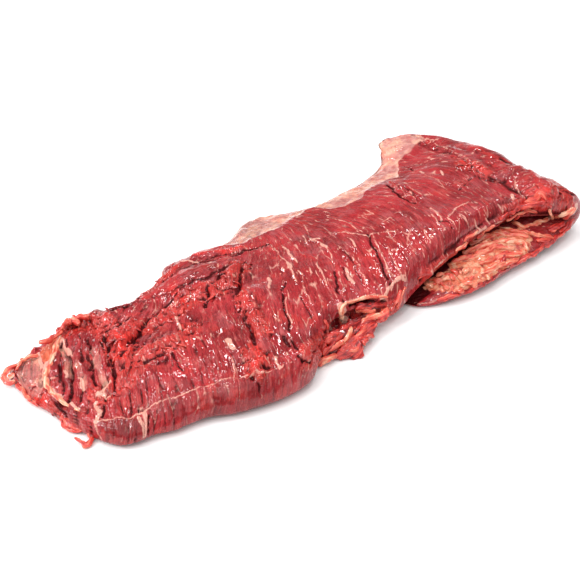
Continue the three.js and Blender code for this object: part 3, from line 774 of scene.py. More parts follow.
# %% Lines of fat, and the edge of the silverskin
SKIN_EDGE = [
    (236, 247), (256, 238), (273, 230), (288, 222), (300, 214), (312, 208), (328, 209),
    (345, 206), (360, 198), (371, 188), (384, 182), (398, 177), (400, 165), (405, 158),
    (411, 149), (418, 144), (424, 137),
]
FAT_LINES = [
    (0.6, [(97, 423), (111, 421), (129, 420), (144, 411), (161, 403), (178, 397), (200, 388)]),
    (0.5, [(200, 388), (222, 381), (247, 376), (269, 373), (292, 361)]),
    (0.5, [(231, 358), (234, 377), (236, 397)]),
    (0.6, [(259, 373), (262, 399)]),
    (0.4, [(192, 392), (200, 410)]),
    (1.9, [(228, 342), (233, 350)]),
    (1.0, [(276, 357), (279, 368)]),
    (0.8, [(286, 352), (291, 368)]),
    (0.4, [(206, 272), (212, 269), (218, 272)]),
    (0.35, [(232, 255), (258, 248), (268, 245), (273, 248)]),
    (0.4, [(262, 256), (267, 252), (273, 248)]),
    (0.5, [(273, 248), (280, 255), (286, 262), (293, 274), (297, 283)]),
    (1.3, [(287, 264), (290, 269)]),
    (0.7, [(281, 246), (287, 251), (292, 256), (297, 263)]),
    (0.4, [(281, 230), (286, 236), (291, 242)]),
    (0.5, [(295, 245), (300, 251), (304, 255)]),
    (0.5, [(303, 226), (307, 231), (310, 238)]),
    (0.6, [(303, 237), (308, 243)]),
    (1.0, [(311, 239), (319, 239)]),
    (0.6, [(313, 240), (320, 243), (327, 248), (331, 256), (334, 263)]),
    (1.1, [(321, 245), (326, 247)]),
    (0.4, [(322, 228), (330, 234), (336, 238)]),
    (0.45, [(328, 217), (345, 222), (355, 227), (362, 233)]),
    (0.7, [(333, 234), (345, 232), (355, 234), (366, 237), (375, 234)]),
    (0.5, [(375, 234), (390, 232), (402, 233), (412, 236)]),
    (0.7, [(281, 269), (284, 272)]),
    (0.7, [(298, 272), (303, 276)]),
    (0.5, [(310, 268), (313, 275)]),
    (0.6, [(316, 258), (318, 265), (321, 272), (324, 281), (326, 287)]),
    (1.0, [(269, 279), (270, 290)]),
    (0.45, [(304, 288), (308, 296), (313, 303)]),
    (0.9, [(351, 240), (357, 248)]),
    (1.1, [(346, 270), (350, 277), (355, 284)]),
    (0.5, [(338, 273), (341, 283), (344, 294)]),
    (0.4, [(357, 262), (362, 272), (366, 282), (368, 292)]),
    (0.5, [(285, 297), (287, 308), (290, 320), (292, 328)]),
    (0.5, [(371, 235), (376, 243), (382, 256), (388, 268), (393, 278)]),
    (0.35, [(385, 244), (392, 255), (398, 268), (403, 276)]),
    (0.8, [(343, 304), (352, 300), (362, 298), (372, 295), (387, 297)]),
    (0.9, [(386, 296), (389, 287), (396, 281), (403, 276)]),
    (3.0, [(340, 308), (341, 315), (344, 321)]),
    (1.0, [(396, 281), (400, 278), (405, 280)]),
    (1.2, [(428, 271), (436, 265), (444, 259)]),
    (1.0, [(450, 255), (458, 249), (464, 243)]),
    (1.3, [(470, 239), (478, 232), (484, 227)]),
    (1.0, [(490, 225), (496, 221), (502, 218)]),
    (1.0, [(143, 413), (145, 424), (142, 436)]),
    (0.8, [(97, 423), (100, 434), (106, 441)]),
    (1.4, [(381, 299), (385, 301)]),
    (0.4, [(388, 300), (388, 312), (395, 309), (401, 299)]),
    (0.7, [(430, 209), (436, 214), (442, 221)]),
    (0.6, [(469, 203), (461, 207), (454, 211), (448, 218)]),
    (0.6, [(447, 219), (452, 224), (456, 230)]),
    (0.6, [(459, 216), (465, 219), (470, 227)]),
    (1.0, [(474, 219), (476, 225), (479, 229)]),
    (0.6, [(484, 215), (487, 223)]),
    (1.1, [(441, 172), (443, 175)]),
    (0.9, [(420, 172), (424, 174)]),
    (0.5, [(432, 174), (436, 171)]),
    (0.5, [(403, 163), (409, 163)]),
    (0.4, [(395, 216), (400, 213), (406, 217), (414, 222)]),
    (0.35, [(392, 184), (397, 190), (403, 195), (410, 199), (416, 202)]),
    (0.2, [(395, 183), (401, 188), (407, 192)]),
    (0.3, [(405, 187), (413, 192), (422, 198)]),
    (0.5, [(398, 268), (400, 274), (402, 280)]),
    (0.5, [(405, 269), (405, 275), (407, 281)]),
    (0.5, [(391, 280), (394, 284), (392, 290)]),
    (0.5, [(452, 214), (458, 208), (466, 205)]),
    (0.5, [(432, 216), (438, 222), (444, 231)]),
    (0.45, [(408, 240), (414, 251), (419, 262)]),
    (0.45, [(424, 232), (430, 243), (435, 254)]),
    (0.4, [(382, 224), (390, 219), (397, 222)]),
    (0.5, [(443, 184), (449, 183)]),
    (0.5, [(512, 176), (516, 188), (521, 196), (526, 199)]),
    (0.8, [(420, 140), (428, 139), (434, 142)]),
    (0.5, [(497, 161), (503, 163)]),
    (0.4, [(418, 305), (430, 301), (442, 297)]),
    (0.35, [(404, 306), (415, 302), (427, 303), (440, 301)]),
    (0.35, [(430, 141), (438, 146), (448, 151), (458, 156), (470, 161)]),
    (0.4, [(533, 176), (537, 183), (538, 190)]),
    (0.35, [(478, 150), (471, 156), (464, 159)]),
    (0.35, [(512, 167), (505, 171), (497, 174), (489, 177)]),
    (0.45, [(515, 188), (519, 194), (526, 198)]),
    (0.3, [(455, 185), (465, 188), (474, 190), (482, 186)]),
    (1.0, [(511, 196), (512, 199)]),
    (0.8, [(498, 205), (502, 212)]),
    (1.0, [(486, 219), (488, 224)]),
    (1.2, [(512, 222), (522, 227), (532, 225), (545, 221), (556, 218), (567, 212)]),
    (3.2, [(565, 217), (571, 211), (575, 207)]),
    (1.6, [(61, 335), (57, 347), (51, 362), (46, 373), (45, 382), (50, 391), (60, 399)]),
    (1.0, [(60, 399), (68, 406), (80, 411)]),
    (1.2, [(38, 352), (42, 360), (45, 373)]),
    (1.0, [(62, 341), (67, 350), (72, 358)]),
    (1.0, [(66, 373), (67, 380)]),
    (0.9, [(80, 380), (85, 392)]),
    (1.3, [(110, 383), (104, 390), (101, 397), (110, 400)]),
    (1.5, [(97, 406), (100, 414), (98, 422)]),
    (1.0, [(138, 418), (142, 428), (141, 438)]),
    (1.0, [(176, 265), (190, 262), (200, 264)]),
    (0.5, [(140, 324), (152, 321), (166, 315), (180, 305)]),
    (0.8, [(178, 320), (181, 332)]),
    (0.6, [(137, 362), (146, 352), (160, 346)]),
]
print(len(FAT_LINES), "lines of fat")

# %% [markdown]
# ## The other marks
#
# Thin membrane veils some bundles of the tail, and their pale pink is partly painted sheen. A patch
# beside the hook is orange fat, fresh flesh shows where the meat was pulled apart, and the flap's
# upper side is covered with fat. The near edge has a smooth, darker block of meat. Where the flap
# goes under the upper layer is a deep gap.

# %% Veils, fresh flesh, the flap's fat and the gap
VEIL_AND_SHEEN_LINES = [
    (1.6, [(93, 352), (99, 368), (104, 384), (107, 397)]),
    (1.3, [(62, 348), (67, 362), (70, 378)]),
    (1.2, [(79, 366), (83, 378), (86, 390)]),
]
SKIN_SHAPES = [[(16, 368), (24, 358), (40, 356), (43, 370), (44, 386), (44, 400), (30, 394), (20, 384)]]
ORANGE_SHAPES = [[(39, 345), (50, 340), (60, 333), (58, 350), (53, 364), (46, 369), (41, 357)]]
FRESH_LINES = [
    (0.6, 2.2, [(200, 257), (210, 254), (228, 254), (243, 248)]),
    (0.45, 1.8, [(452, 157), (462, 163), (475, 168), (484, 173)]),
    (0.5, 1.6, [(472, 148), (484, 153), (498, 158), (508, 163)]),
    (0.45, 2.0, [(524, 176), (532, 180), (537, 188)]),
    (0.7, 2.6, [(121, 342), (126, 350), (127, 358), (120, 362)]),
    (0.5, 2.0, [(508, 213), (522, 206), (536, 202), (545, 198)]),
    (0.6, 1.8, [(256, 352), (262, 358), (256, 369)]),
    (0.6, 1.4, [(26, 397), (34, 402), (46, 406)]),
    (0.6, 1.8, [(130, 338), (126, 346), (128, 358)]),
    (0.55, 1.6, [(172, 290), (180, 300), (186, 304)]),
]
FLAP_FAT = [
    (423, 287), (426, 281), (436, 275), (446, 268), (452, 262), (464, 254), (470, 248),
    (488, 240), (500, 224), (526, 229), (532, 240), (528, 254), (520, 261), (508, 269),
    (500, 276), (494, 281), (476, 290), (462, 291), (457, 294), (441, 292), (431, 290),
]
BLOCK = [(98, 424), (111, 422), (129, 421), (142, 418), (145, 438), (136, 449), (106, 443)]
# The gap where the flap goes under the upper layer is dug in and also gets painted shade
FLAP_SHADED_GAP = [(4.0, [(398, 308), (410, 300), (422, 289), (432, 276), (445, 265), (458, 254), (468, 246)])]
print(len(FRESH_LINES), "lines of fresh flesh")

# %% [markdown]
# ## From marks to masks
#
# A line of fat keeps its distance as a number, positive inside it, so that the shader can make its
# edge ragged. The other masks run from 0 to 1, most of them with a soft edge. The silverskin starts
# at its edge and runs to the far rim.

# %% The masks of the fat, the silverskin and the rims
FAT_REACH = 2.5
fat = np.full((RINGS, POINTS), -FAT_REACH)
for half_width, path in FAT_LINES:
    fat = np.maximum(fat, half_width - distance_to(path, half_width + FAT_REACH))
seen_side = on_upper | on_fold | on_flap_top
fat = np.where(seen_side, fat, -FAT_REACH)
edge_line = np.array([on_meat(*p)[:2] - PLAN_SHIFT[:2] for p in SKIN_EDGE])
edge_line = edge_line[np.argsort(edge_line[:, 0])]
skin_from = np.interp(plan_x, edge_line[:, 0], edge_line[:, 1], right=90)
skin_from += 0.9 * np.maximum(edge_line[0, 0] + 6 - plan_x, 0)
past_edge = plan_y - skin_from + 2.0 * soft_noise(plan_x / 6, plan_y / 6, 41)
skin = smooth(-1.0, 1.4, past_edge) * on_upper
for shape in SKIN_SHAPES:
    skin = np.maximum(skin, inside(shape, on_upper) * 0.55)
# The tail's veils join the silverskin mask: membrane, and partly painted sheen
skin = np.maximum(skin, 0.5 * painted(VEIL_AND_SHEEN_LINES, 1.6) * on_upper)
orange = np.zeros((RINGS, POINTS))
for shape in ORANGE_SHAPES:
    orange = np.maximum(orange, inside(shape, on_upper))
rim_distance = far_at(plan_x) - plan_y + 2.5 * soft_noise(plan_x / 6, plan_y / 6, 43)
thin_rim = (1 - smooth(1.0, 4.5, rim_distance)) * (plan_x < 132)
orange = np.maximum(orange, 0.85 * thin_rim * on_upper)
low_rim = 1 - smooth(1.5, 4.0, grid[:, :, 2] + 1.2 * soft_noise(plan_x / 7, plan_y / 7, 44))
low_rim *= 1 - smooth(8, 10, plan_y - near_at(plan_x))
low_rim *= smooth(-112, -100, plan_x) * (1 - smooth(-30, -20, plan_x))
orange = np.maximum(orange, 0.55 * low_rim * on_upper)
print("silverskin share of the skin:", round(float(skin.mean()), 3))

# %% [markdown]
# ## Fresh flesh, the flap and the gap
#
# These come from the marks in the same way. The `marbled` mask lets the fine streaks of fat fade out
# towards the tail, whose meat is darker and plainer.

# %% The masks of fresh flesh, the flap and the gap
fresh = np.zeros((RINGS, POINTS))
for amount, half_width, path in FRESH_LINES:
    fresh = np.maximum(fresh, amount * painted([(half_width, path)], 3.0) * seen_side)
flap_fat = inside(FLAP_FAT, on_flap_top) * 1.0
marbled = 0.25 + 0.75 * smooth(-100, -20, length_at)
block = inside(BLOCK, on_upper) * 1.0
shaded_gap = painted(FLAP_SHADED_GAP, 3.0) * on_flap_top * (1 - flap_fat)
print("share of the skin with the flap's fat:", round(float(flap_fat.mean()), 3))

# %% [markdown]
# ## Out and in
#
# A Displace modifier could move the skin by a texture. Here every point has its own number, so
# it is moved along its outward direction by the relief and by the wrinkles of the silverskin and
# the flap. The move fades out at the rim that touches the table, and the far edge is drawn in or
# out by a few millimetres to follow the photograph.

# %% Move the points out and in
flap_wrinkle = soft_noise(length_at / 14, width_at / 2.6, 51)
flap_wrinkle += 0.6 * soft_noise(length_at / 6, width_at / 1.6, 52)
facing_up = smooth(-0.55, 0.15, normals[:, :, 2]) * on_upper
facing_up += on_fold * (1 - smooth(0.35, 0.75, (length_at - FOLD_X) / fold_length))
rim_fade = smooth(0, 2.0, grid[:, :, 2])
near_rim = 1 - smooth(1, 9, plan_y - near_at(plan_x))
# How far the far edge moves outwards, by place along the steak
FAR_TRIM = curve_through([
    (-190, -3), (-165, -4.5), (-145, -2.5), (-130, 2), (-117, 2), (-105, -4), (-88, -2),
    (-70, -2), (-45, -1), (-33, 3), (-20, 1), (-10, -1), (3, 1), (15, 5), (26, 5), (36, 3),
    (60, 0), (95, 1), (125, 3.5), (150, 1), (180, 1),
])
near_far_edge = 1 - smooth(0, 16, far_at(plan_x) - plan_y)
far_pull = FAR_TRIM(np.clip(plan_x, -190, 180)) * near_far_edge * on_upper
far_rim = (1 - smooth(2, 12, far_at(plan_x) - plan_y)) * (1 - smooth(-60, -30, plan_x))
ragged_rim = rough_noise(length_at / 7, width_at / 9, 91) - 0.25
moved = relief - 1.1 * near_rim * on_upper + 2.4 * ragged_rim * far_rim
shift = moved * facing_up * (1 - 0.75 * skin) * rim_fade
skin_wrinkles = soft_noise(plan_x / 5, plan_y / 2.6, 47)
skin_wrinkles += 0.5 * soft_noise(plan_x / 2.2, plan_y / 2.2, 48)
shift += (0.55 * skin_wrinkles - 1.0) * skin * smooth(0, 6, past_edge) * on_upper
shift += 0.5 * smooth(-0.6, 0.3, fat) * seen_side
near_flap_edge = 1 - smooth(26, 40, plan_y - flap_near_at(plan_x))
shift += (1.1 * flap_wrinkle + 0.8 * flap_fat - 1.5 * shaded_gap) * on_flap_top * near_flap_edge
dressed = grid + normals * shift[:, :, None]
dressed[:, :, 1] += far_pull
dressed[:, :, 2] = np.maximum(dressed[:, :, 2], 0)
shade_and_highlight *= facing_up * np.where(shade_and_highlight > 0, 1 - 0.3 * torn, 1 + 0.9 * torn)
# Painted shade in the gap under the upper layer
shade_and_highlight = np.maximum(shade_and_highlight, 2.0 * shaded_gap)
print("highest point", round(float(dressed[:, :, 2].max()), 1), "mm")

# %% [markdown]
# ## One closed mesh
#
# The grid becomes a mesh with a fan at each end, so that nothing is left open. The two coordinates
# of the grain go in as a UV map, and the masks as point attributes.

# %% Build the steak's mesh


def closed_mesh(name, points, faces):
    """A smooth-shaded object from points in millimetres."""
    mesh = bpy.data.meshes.new(name)
    mesh.from_pydata((np.asarray(points) * MM).tolist(), [], faces)
    mesh.polygons.foreach_set("use_smooth", [True] * len(mesh.polygons))
    mesh.update()
    piece = bpy.data.objects.new(name, mesh)
    bpy.context.scene.collection.objects.link(piece)
    return piece


def give_attribute(piece, name, values):
    """Stores a number on every point, for the shader to read."""
    attribute = piece.data.attributes.new(name, "FLOAT", "POINT")
    attribute.data.foreach_set("value", np.asarray(values, np.float32).ravel())


def fan(centre, first, count, turned):
    """Triangles from a middle point to a ring, which close an end."""
    made = []
    for i in range(count):
        a, b = first + i, first + (i + 1) % count
        made.append((centre, b, a) if turned else (centre, a, b))
    return made


points = dressed.reshape(-1, 3)
last = (RINGS - 1) * POINTS
ends = [points[:POINTS].mean(0), points[last:].mean(0)]
all_points = np.concatenate([points, ends])
faces = [tuple(q) for q in quads.tolist()]
faces += fan(len(points), 0, POINTS, False)
faces += fan(len(points) + 1, last, POINTS, True)
steak = closed_mesh("steak_meat", all_points, faces)


def with_ends(values):
    """The grid's values, and one more for the middle point of each end."""
    flat = values.reshape(-1)
    return np.concatenate([flat, [flat[0], flat[last]]])


masks = {
    "fat": fat, "skin": skin, "orange": orange, "fresh": fresh, "torn": torn, "shade_and_highlight": shade_and_highlight,
    "flap_fat": flap_fat, "block": block, "marbled": marbled, "border": border, "tone": bundle_tone,
}
for name, values in masks.items():
    give_attribute(steak, name, with_ends(values))
corner_point = np.zeros(len(steak.data.loops), np.int32)
steak.data.loops.foreach_get("vertex_index", corner_point)
uv = np.stack([with_ends(bundle), with_ends(fibre)], 1)[corner_point] / 100
steak.data.uv_layers.new(name="fibre").data.foreach_set("uv", uv.astype(np.float32).ravel())
print("steak mesh:", len(faces), "faces")

# %% [markdown]
# ## Raw meat as a material
#
# Raw beef is dark red and slightly see-through, with a wet surface. The colour comes from the
# fibres: noise that is stretched along the grain through the UV map. Silverskin, fat and torn
# flesh each take over where their mask says so. Subsurface scattering gives the soft red glow, and
# a coat gives the wet highlights.

# %% Helpers for shader nodes


class Shader:
    """Builds the nodes of one material."""

    def __init__(self, name):
        self.material = bpy.data.materials.new(name)
        self.material.use_nodes = True
        self.tree = self.material.node_tree
        self.surface = self.tree.nodes["Principled BSDF"]

    def node(self, kind, **settings):
        """A new node with its settings."""
        made = self.tree.nodes.new("ShaderNode" + kind)
        for key, value in settings.items():
            setattr(made, key, value)
        return made

    def link(self, source, target):
        self.tree.links.new(source, target)

    def attribute(self, name):
        """A number stored on the mesh's points."""
        return self.node("Attribute", attribute_type="GEOMETRY", attribute_name=name).outputs["Fac"]

    def grain(self, across_mm, along_mm, detail=2.0, seed=0.0, uv_name="fibre"):
        """Noise stretched along the fibres, with one hump every so many millimetres."""
        uv_node = self.node("UVMap", uv_map=uv_name)
        mapping = self.node("Mapping")
        mapping.inputs["Scale"].default_value = (100 / across_mm, 100 / along_mm, 1)
        mapping.inputs["Location"].default_value = (seed, seed * 1.7, seed)
        self.link(uv_node.outputs["UV"], mapping.inputs["Vector"])
        return self.noise(mapping.outputs["Vector"], 1.0, detail)

    def object_noise(self, size_mm, detail=3.0):
        """Plain noise in the object's own space, with one hump every so many millimetres."""
        place = self.node("TexCoord")
        return self.noise(place.outputs["Object"], 1000 / size_mm, detail)

    def noise(self, vector, scale, detail):
        made = self.node("TexNoise")
        made.inputs["Scale"].default_value = scale
        made.inputs["Detail"].default_value = detail
        made.inputs["Roughness"].default_value = 0.55
        self.link(vector, made.inputs["Vector"])
        return made.outputs["Fac"]

    def ramp(self, source, low, high, start=0.0, end=1.0):
        """Turns a range of values into another, smoothly."""
        made = self.node("MapRange", interpolation_type="SMOOTHSTEP")
        for key, value in (("From Min", low), ("From Max", high), ("To Min", start), ("To Max", end)):
            made.inputs[key].default_value = value
        self.link(source, made.inputs["Value"])
        return made.outputs["Result"]

    def maths(self, operation, a, b):
        """One sum or product of two numbers or sockets."""
        made = self.node("Math", operation=operation, use_clamp=False)
        for socket, value in zip(made.inputs, (a, b)):
            if isinstance(value, (int, float)):
                socket.default_value = value
            else:
                self.link(value, socket)
        return made.outputs["Value"]

    def mix(self, factor, a, b):
        """Colour a where the factor is 0, colour b where it is 1."""
        made = self.node("Mix", data_type="RGBA")
        self.link(factor, made.inputs[0])
        for socket, value in ((made.inputs[6], a), (made.inputs[7], b)):
            if isinstance(value, tuple):
                socket.default_value = (*value, 1)
            else:
                self.link(value, socket)
        return made.outputs[2]

    def set(self, **values):
        """Plain values for the surface's own sockets."""
        for name, value in values.items():
            self.surface.inputs[name.replace("_", " ")].default_value = value


def shade(piece, shader):
    """Gives the piece its one material."""
    piece.data.materials.clear()
    piece.data.materials.append(shader.material)


# %% [markdown]
# ## The red of the fibres
#
# The reds run from a near black, painted into the crevices as shade, to scarlet where the flesh
# is fresh. Noise in the object's own space makes broad patches, and noise along the grain makes
# dark and pale threads.

# %% The red of the fibres
meat = Shader("raw_beef")
# The first red is the painted shade of the crevices
SHADE_RED, DARK_MEAT, MEAT = (0.065, 0.001, 0.002), (0.21, 0.004, 0.007), (0.41, 0.018, 0.024)
SCARLET, DUSKY = (0.52, 0.034, 0.026), (0.40, 0.075, 0.082)
# The dark lines and the pale meat also give the finest threads painted shade and painted highlight
DARK_LINES_AND_SHADE, SKIN_FAT, CREAM_FAT = (0.17, 0.004, 0.006), (0.84, 0.44, 0.32), (0.84, 0.40, 0.25)
PALE_MEAT_AND_HIGHLIGHT, TORN_MEAT, FRESH_MEAT = (0.65, 0.13, 0.12), (0.62, 0.036, 0.024), (0.72, 0.020, 0.012)
# The orange of fat also serves as the painted highlight on raised ridges
FAT, SILVERSKIN, ORANGE_FAT_AND_HIGHLIGHT = (0.78, 0.37, 0.29), (0.62, 0.29, 0.25), (0.76, 0.17, 0.09)
blotch = meat.ramp(meat.object_noise(24), 0.38, 0.62)
colour = meat.mix(blotch, DARK_MEAT, MEAT)
colour = meat.mix(meat.ramp(meat.attribute("tone"), 0.1, 1.0, 0, 0.5), colour, MEAT)
scarlet_part = meat.ramp(meat.object_noise(10, 2.0), 0.50, 0.68, 0, 0.45)
colour = meat.mix(scarlet_part, colour, SCARLET)
dusky_part = meat.ramp(meat.object_noise(13, 2.0), 0.46, 0.34, 0, 0.5)
colour = meat.mix(dusky_part, colour, DUSKY)
strand = meat.grain(3.0, 20, seed=3.0)
colour = meat.mix(meat.ramp(strand, 0.52, 0.76, 0, 0.40), colour, PALE_MEAT_AND_HIGHLIGHT)
colour = meat.mix(meat.ramp(meat.attribute("block"), 0.2, 0.8, 0, 0.75), colour, DARK_MEAT)
torn_part = meat.ramp(meat.attribute("torn"), 0.1, 0.9, 0, 0.55)
colour = meat.mix(torn_part, colour, TORN_MEAT)
fine = meat.grain(1.5, 14, seed=5.0)
wet = meat.object_noise(2.0, 3.0)
both = meat.maths("ADD", meat.maths("MULTIPLY", fine, 0.62), meat.maths("MULTIPLY", wet, 0.38))
# The same fine noise drives the bump: these threads are partly the fibres' colour, partly painted shade
# in its dips and painted highlight on its tops
colour = meat.mix(meat.ramp(fine, 0.47, 0.32, 0, 0.68), colour, DARK_LINES_AND_SHADE)
colour = meat.mix(meat.ramp(fine, 0.56, 0.74, 0, 0.34), colour, PALE_MEAT_AND_HIGHLIGHT)
print("red of the fibres:", len(meat.tree.nodes), "nodes")

# %% [markdown]
# ## Fat between the fibres
#
# Short pale streaks of fat lie along the fibres, in patches, and thin broken lines follow the
# borders of the bundles.

# %% Fat between the fibres
streak = meat.ramp(meat.grain(1.6, 7, 1.0, seed=7.0), 0.62, 0.70, 0, 0.8)
patchy = meat.ramp(meat.object_noise(14), 0.45, 0.58)
marbled_streak = meat.maths("MULTIPLY", streak, meat.attribute("marbled"))
colour = meat.mix(meat.maths("MULTIPLY", marbled_streak, patchy), colour, FAT)
border_line = meat.ramp(meat.attribute("border"), 0.0, 0.08, 1, 0)
some = meat.ramp(meat.grain(8, 16, seed=1.0), 0.47, 0.57, 0, 0.8)
colour = meat.mix(meat.maths("MULTIPLY", border_line, some), colour, FAT)
print("with the fat between them:", len(meat.tree.nodes), "nodes")

# %% [markdown]
# ## Fresh flesh, painted shade and highlight, silverskin and fat
#
# Each mask takes over from the red where it is high. Noise added to a mask before its ramp makes the
# edge ragged, as the edge of real fat is.

# %% Fresh flesh, painted shade and highlight, silverskin and fat
colour = meat.mix(meat.ramp(meat.attribute("fresh"), 0.2, 0.9), colour, FRESH_MEAT)
# Ridges that stand out turn orange: a painted highlight
ridge_highlight_part = meat.ramp(meat.attribute("shade_and_highlight"), -0.5, -1.8, 0, 0.55)
colour = meat.mix(ridge_highlight_part, colour, ORANGE_FAT_AND_HIGHLIGHT)
# The crevices take a near-black red: painted shade
painted_shade_part = meat.ramp(meat.attribute("shade_and_highlight"), 0.12, 1.4, 0, 1.0)
colour = meat.mix(painted_shade_part, colour, SHADE_RED)
colour = meat.mix(meat.ramp(meat.attribute("orange"), 0.2, 0.8, 0, 0.85), colour, ORANGE_FAT_AND_HIGHLIGHT)
veil = meat.ramp(meat.object_noise(5), 0.35, 0.7, 0.5, 1.0)
skin_part = meat.maths("MULTIPLY", meat.ramp(meat.attribute("skin"), 0.2, 0.8), veil)
skin_colour = meat.mix(meat.ramp(meat.object_noise(11), 0.42, 0.60), SILVERSKIN, SKIN_FAT)
skin_colour = meat.mix(meat.ramp(meat.object_noise(2.8), 0.55, 0.72, 0, 0.5), skin_colour, PALE_MEAT_AND_HIGHLIGHT)
colour = meat.mix(skin_part, colour, skin_colour)
uneven = meat.maths("ADD", meat.object_noise(1.6), meat.object_noise(6.0))
fat_level = meat.maths("ADD", meat.attribute("fat"), uneven)
colour = meat.mix(meat.ramp(fat_level, 0.86, 1.45, 0, 0.9), colour, FAT)
patches = meat.ramp(meat.object_noise(7), 0.3, 0.5)
flap_part = meat.maths("MULTIPLY", meat.ramp(meat.attribute("flap_fat"), 0.3, 0.7), patches)
flap_colour = meat.mix(meat.ramp(meat.object_noise(4), 0.42, 0.62), ORANGE_FAT_AND_HIGHLIGHT, CREAM_FAT)
colour = meat.mix(flap_part, colour, flap_colour)
meat.link(colour, meat.surface.inputs["Base Color"])
print("with the masks:", len(meat.tree.nodes), "nodes")

# %% [markdown]
# ## A wet surface
#
# Bump from the same fine noise breaks the light into small glints, and a thin clear coat reflects
# it. Deep hollows have less of the coat, as little light gets in. A little subsurface scattering
# lets red light through the thin parts.

# %% A wet surface
roughness = meat.ramp(meat.object_noise(6), 0.3, 0.7, 0.30, 0.55)
meat.link(roughness, meat.surface.inputs["Roughness"])
bump = meat.node("Bump")
bump.inputs["Strength"].default_value = 0.85
bump.inputs["Distance"].default_value = 0.0042
meat.link(both, bump.inputs["Height"])
meat.link(bump.outputs["Normal"], meat.surface.inputs["Normal"])
meat.set(Subsurface_Weight=0.08, Subsurface_Scale=0.002, Subsurface_Radius=(1.0, 0.22, 0.14))
meat.link(meat.ramp(meat.attribute("shade_and_highlight"), 0.2, 1.2, 0.75, 0.1), meat.surface.inputs["Coat Weight"])
meat.set(IOR=1.38, Specular_IOR_Level=0.15, Coat_Roughness=0.07, Coat_IOR=1.5)
shade(steak, meat)
print("meat material has", len(meat.tree.nodes), "nodes")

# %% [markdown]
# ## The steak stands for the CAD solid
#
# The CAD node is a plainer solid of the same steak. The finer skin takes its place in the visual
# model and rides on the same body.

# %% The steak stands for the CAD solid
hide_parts("steak")
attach(steak, "root")

# %% [markdown]
# ## Torn strips
#
# At the hollow under the near edge, at the tail and at the fold's corner the meat is torn, and
# strips of it hang loose. Each strip is swept along a few places: a flat oval is carried along the
# route, turned to face up and towards the camera, and made ragged with noise. A sculptor would pull
# these out of the mesh by hand. A swept strip keeps its width and thickness as numbers.

# %% A ragged strip along a route
dressed_caster = BVHTree.FromPolygons([tuple(p) for p in points], [tuple(q) for q in quads.tolist()])
STRIP_AROUND = 26
STATION_GAP = 0.75
RED, ORANGE = 0.30, 0.56


def place(px, py, z):
    """A pixel carried to a height in millimetres or, without one, to just above the meat."""
    direction = ray_through(px, py)
    if z is not None:
        return eye - direction * (eye[2] - z) / direction[2]
    unit = Vector(direction).normalized()
    hit = dressed_caster.ray_cast(Vector(eye), unit)[0]
    return np.array(hit if hit is not None else on_meat(px, py)) + back * 0.4


def torn_strip(rows, tone, seed, tilt=0.0):
    """A closed strip; each row is px, py, height, half width and thickness."""
    centre = np.array([place(*row[:3]) for row in rows])
    walked = np.concatenate([[0], np.cumsum(np.linalg.norm(np.diff(centre, axis=0), axis=1))])
    count = max(8, int(walked[-1] / STATION_GAP))
    at = np.linspace(0, walked[-1], count)
    line = np.stack([curve_through(list(zip(walked, centre[:, k])))(at) for k in range(3)], 1)
    half = curve_through([(w, row[3]) for w, row in zip(walked, rows)])(at)
    thick = curve_through([(w, row[4]) for w, row in zip(walked, rows)])(at)
    sway = [soft_noise(at / 4.2 + seed, np.full(count, k + 0.4), 89) for k in range(3)]
    line += 0.7 * np.stack(sway, 1)
    tangent = np.gradient(line, axis=0)
    tangent /= np.linalg.norm(tangent, axis=1)[:, None]
    facing = back * 0.55 + np.array([0, 0, 0.6]) + right * tilt
    level = np.cross(facing, tangent)
    level /= np.linalg.norm(level, axis=1)[:, None]
    turn = 0.9 * soft_noise(at / 9 + seed * 2.3, np.full(count, 0.6), 79)[:, None]
    side = level * np.cos(turn) + np.cross(tangent, level) * np.sin(turn)
    face = np.cross(tangent, side)
    angle = np.linspace(0, 2 * math.pi, STRIP_AROUND, endpoint=False)[None, :]
    end_fade = rounding(np.minimum(at, walked[-1] - at) + 0.05, half.max() * 1.8)[:, None]
    edge = np.sign(np.cos(angle))
    ragged = 1 + 0.42 * soft_noise(at[:, None] / 3.1 + seed, edge * 0.7 + seed * 3.1, 81)
    ragged += 0.30 * soft_noise(at[:, None] / 1.3 + seed, edge * 0.9 + seed, 82)
    wide = half[:, None] * end_fade * ragged * edge * np.abs(np.cos(angle)) ** 0.75
    flute = 0.55 * soft_noise(wide / 1.2 + seed, at[:, None] / 7.0, 83)
    flute += 0.45 * soft_noise(wide / 1.0 + 5, at[:, None] / 1.7 + seed, 85)
    flute *= np.minimum(1, thick[:, None] / 2.2)
    deep_side = np.sin(angle) * thick[:, None] / 2 * (0.35 + 0.65 * end_fade)
    wave = 0.9 * soft_noise(at / 4.5 + seed * 1.7, np.full(count, 0.3), 87)[:, None]
    out = deep_side + np.sin(angle) * flute + wave * np.cos(angle) ** 2 * edge
    body = line[:, None] + side[:, None] * wide[:, :, None] + face[:, None] * out[:, :, None]
    body[:, :, 2] = np.maximum(body[:, :, 2], 0.05)
    uv = np.stack([wide + seed * 13, np.repeat(at[:, None], STRIP_AROUND, 1) + seed * 7], 2)
    pale = tone + 0.16 * soft_noise(at[:, None] / 3.5 + seed, wide / 1.6, 93)
    pale = pale + 0.22 * np.sin(angle) * flute
    return body, uv, np.clip(pale, 0, 1)


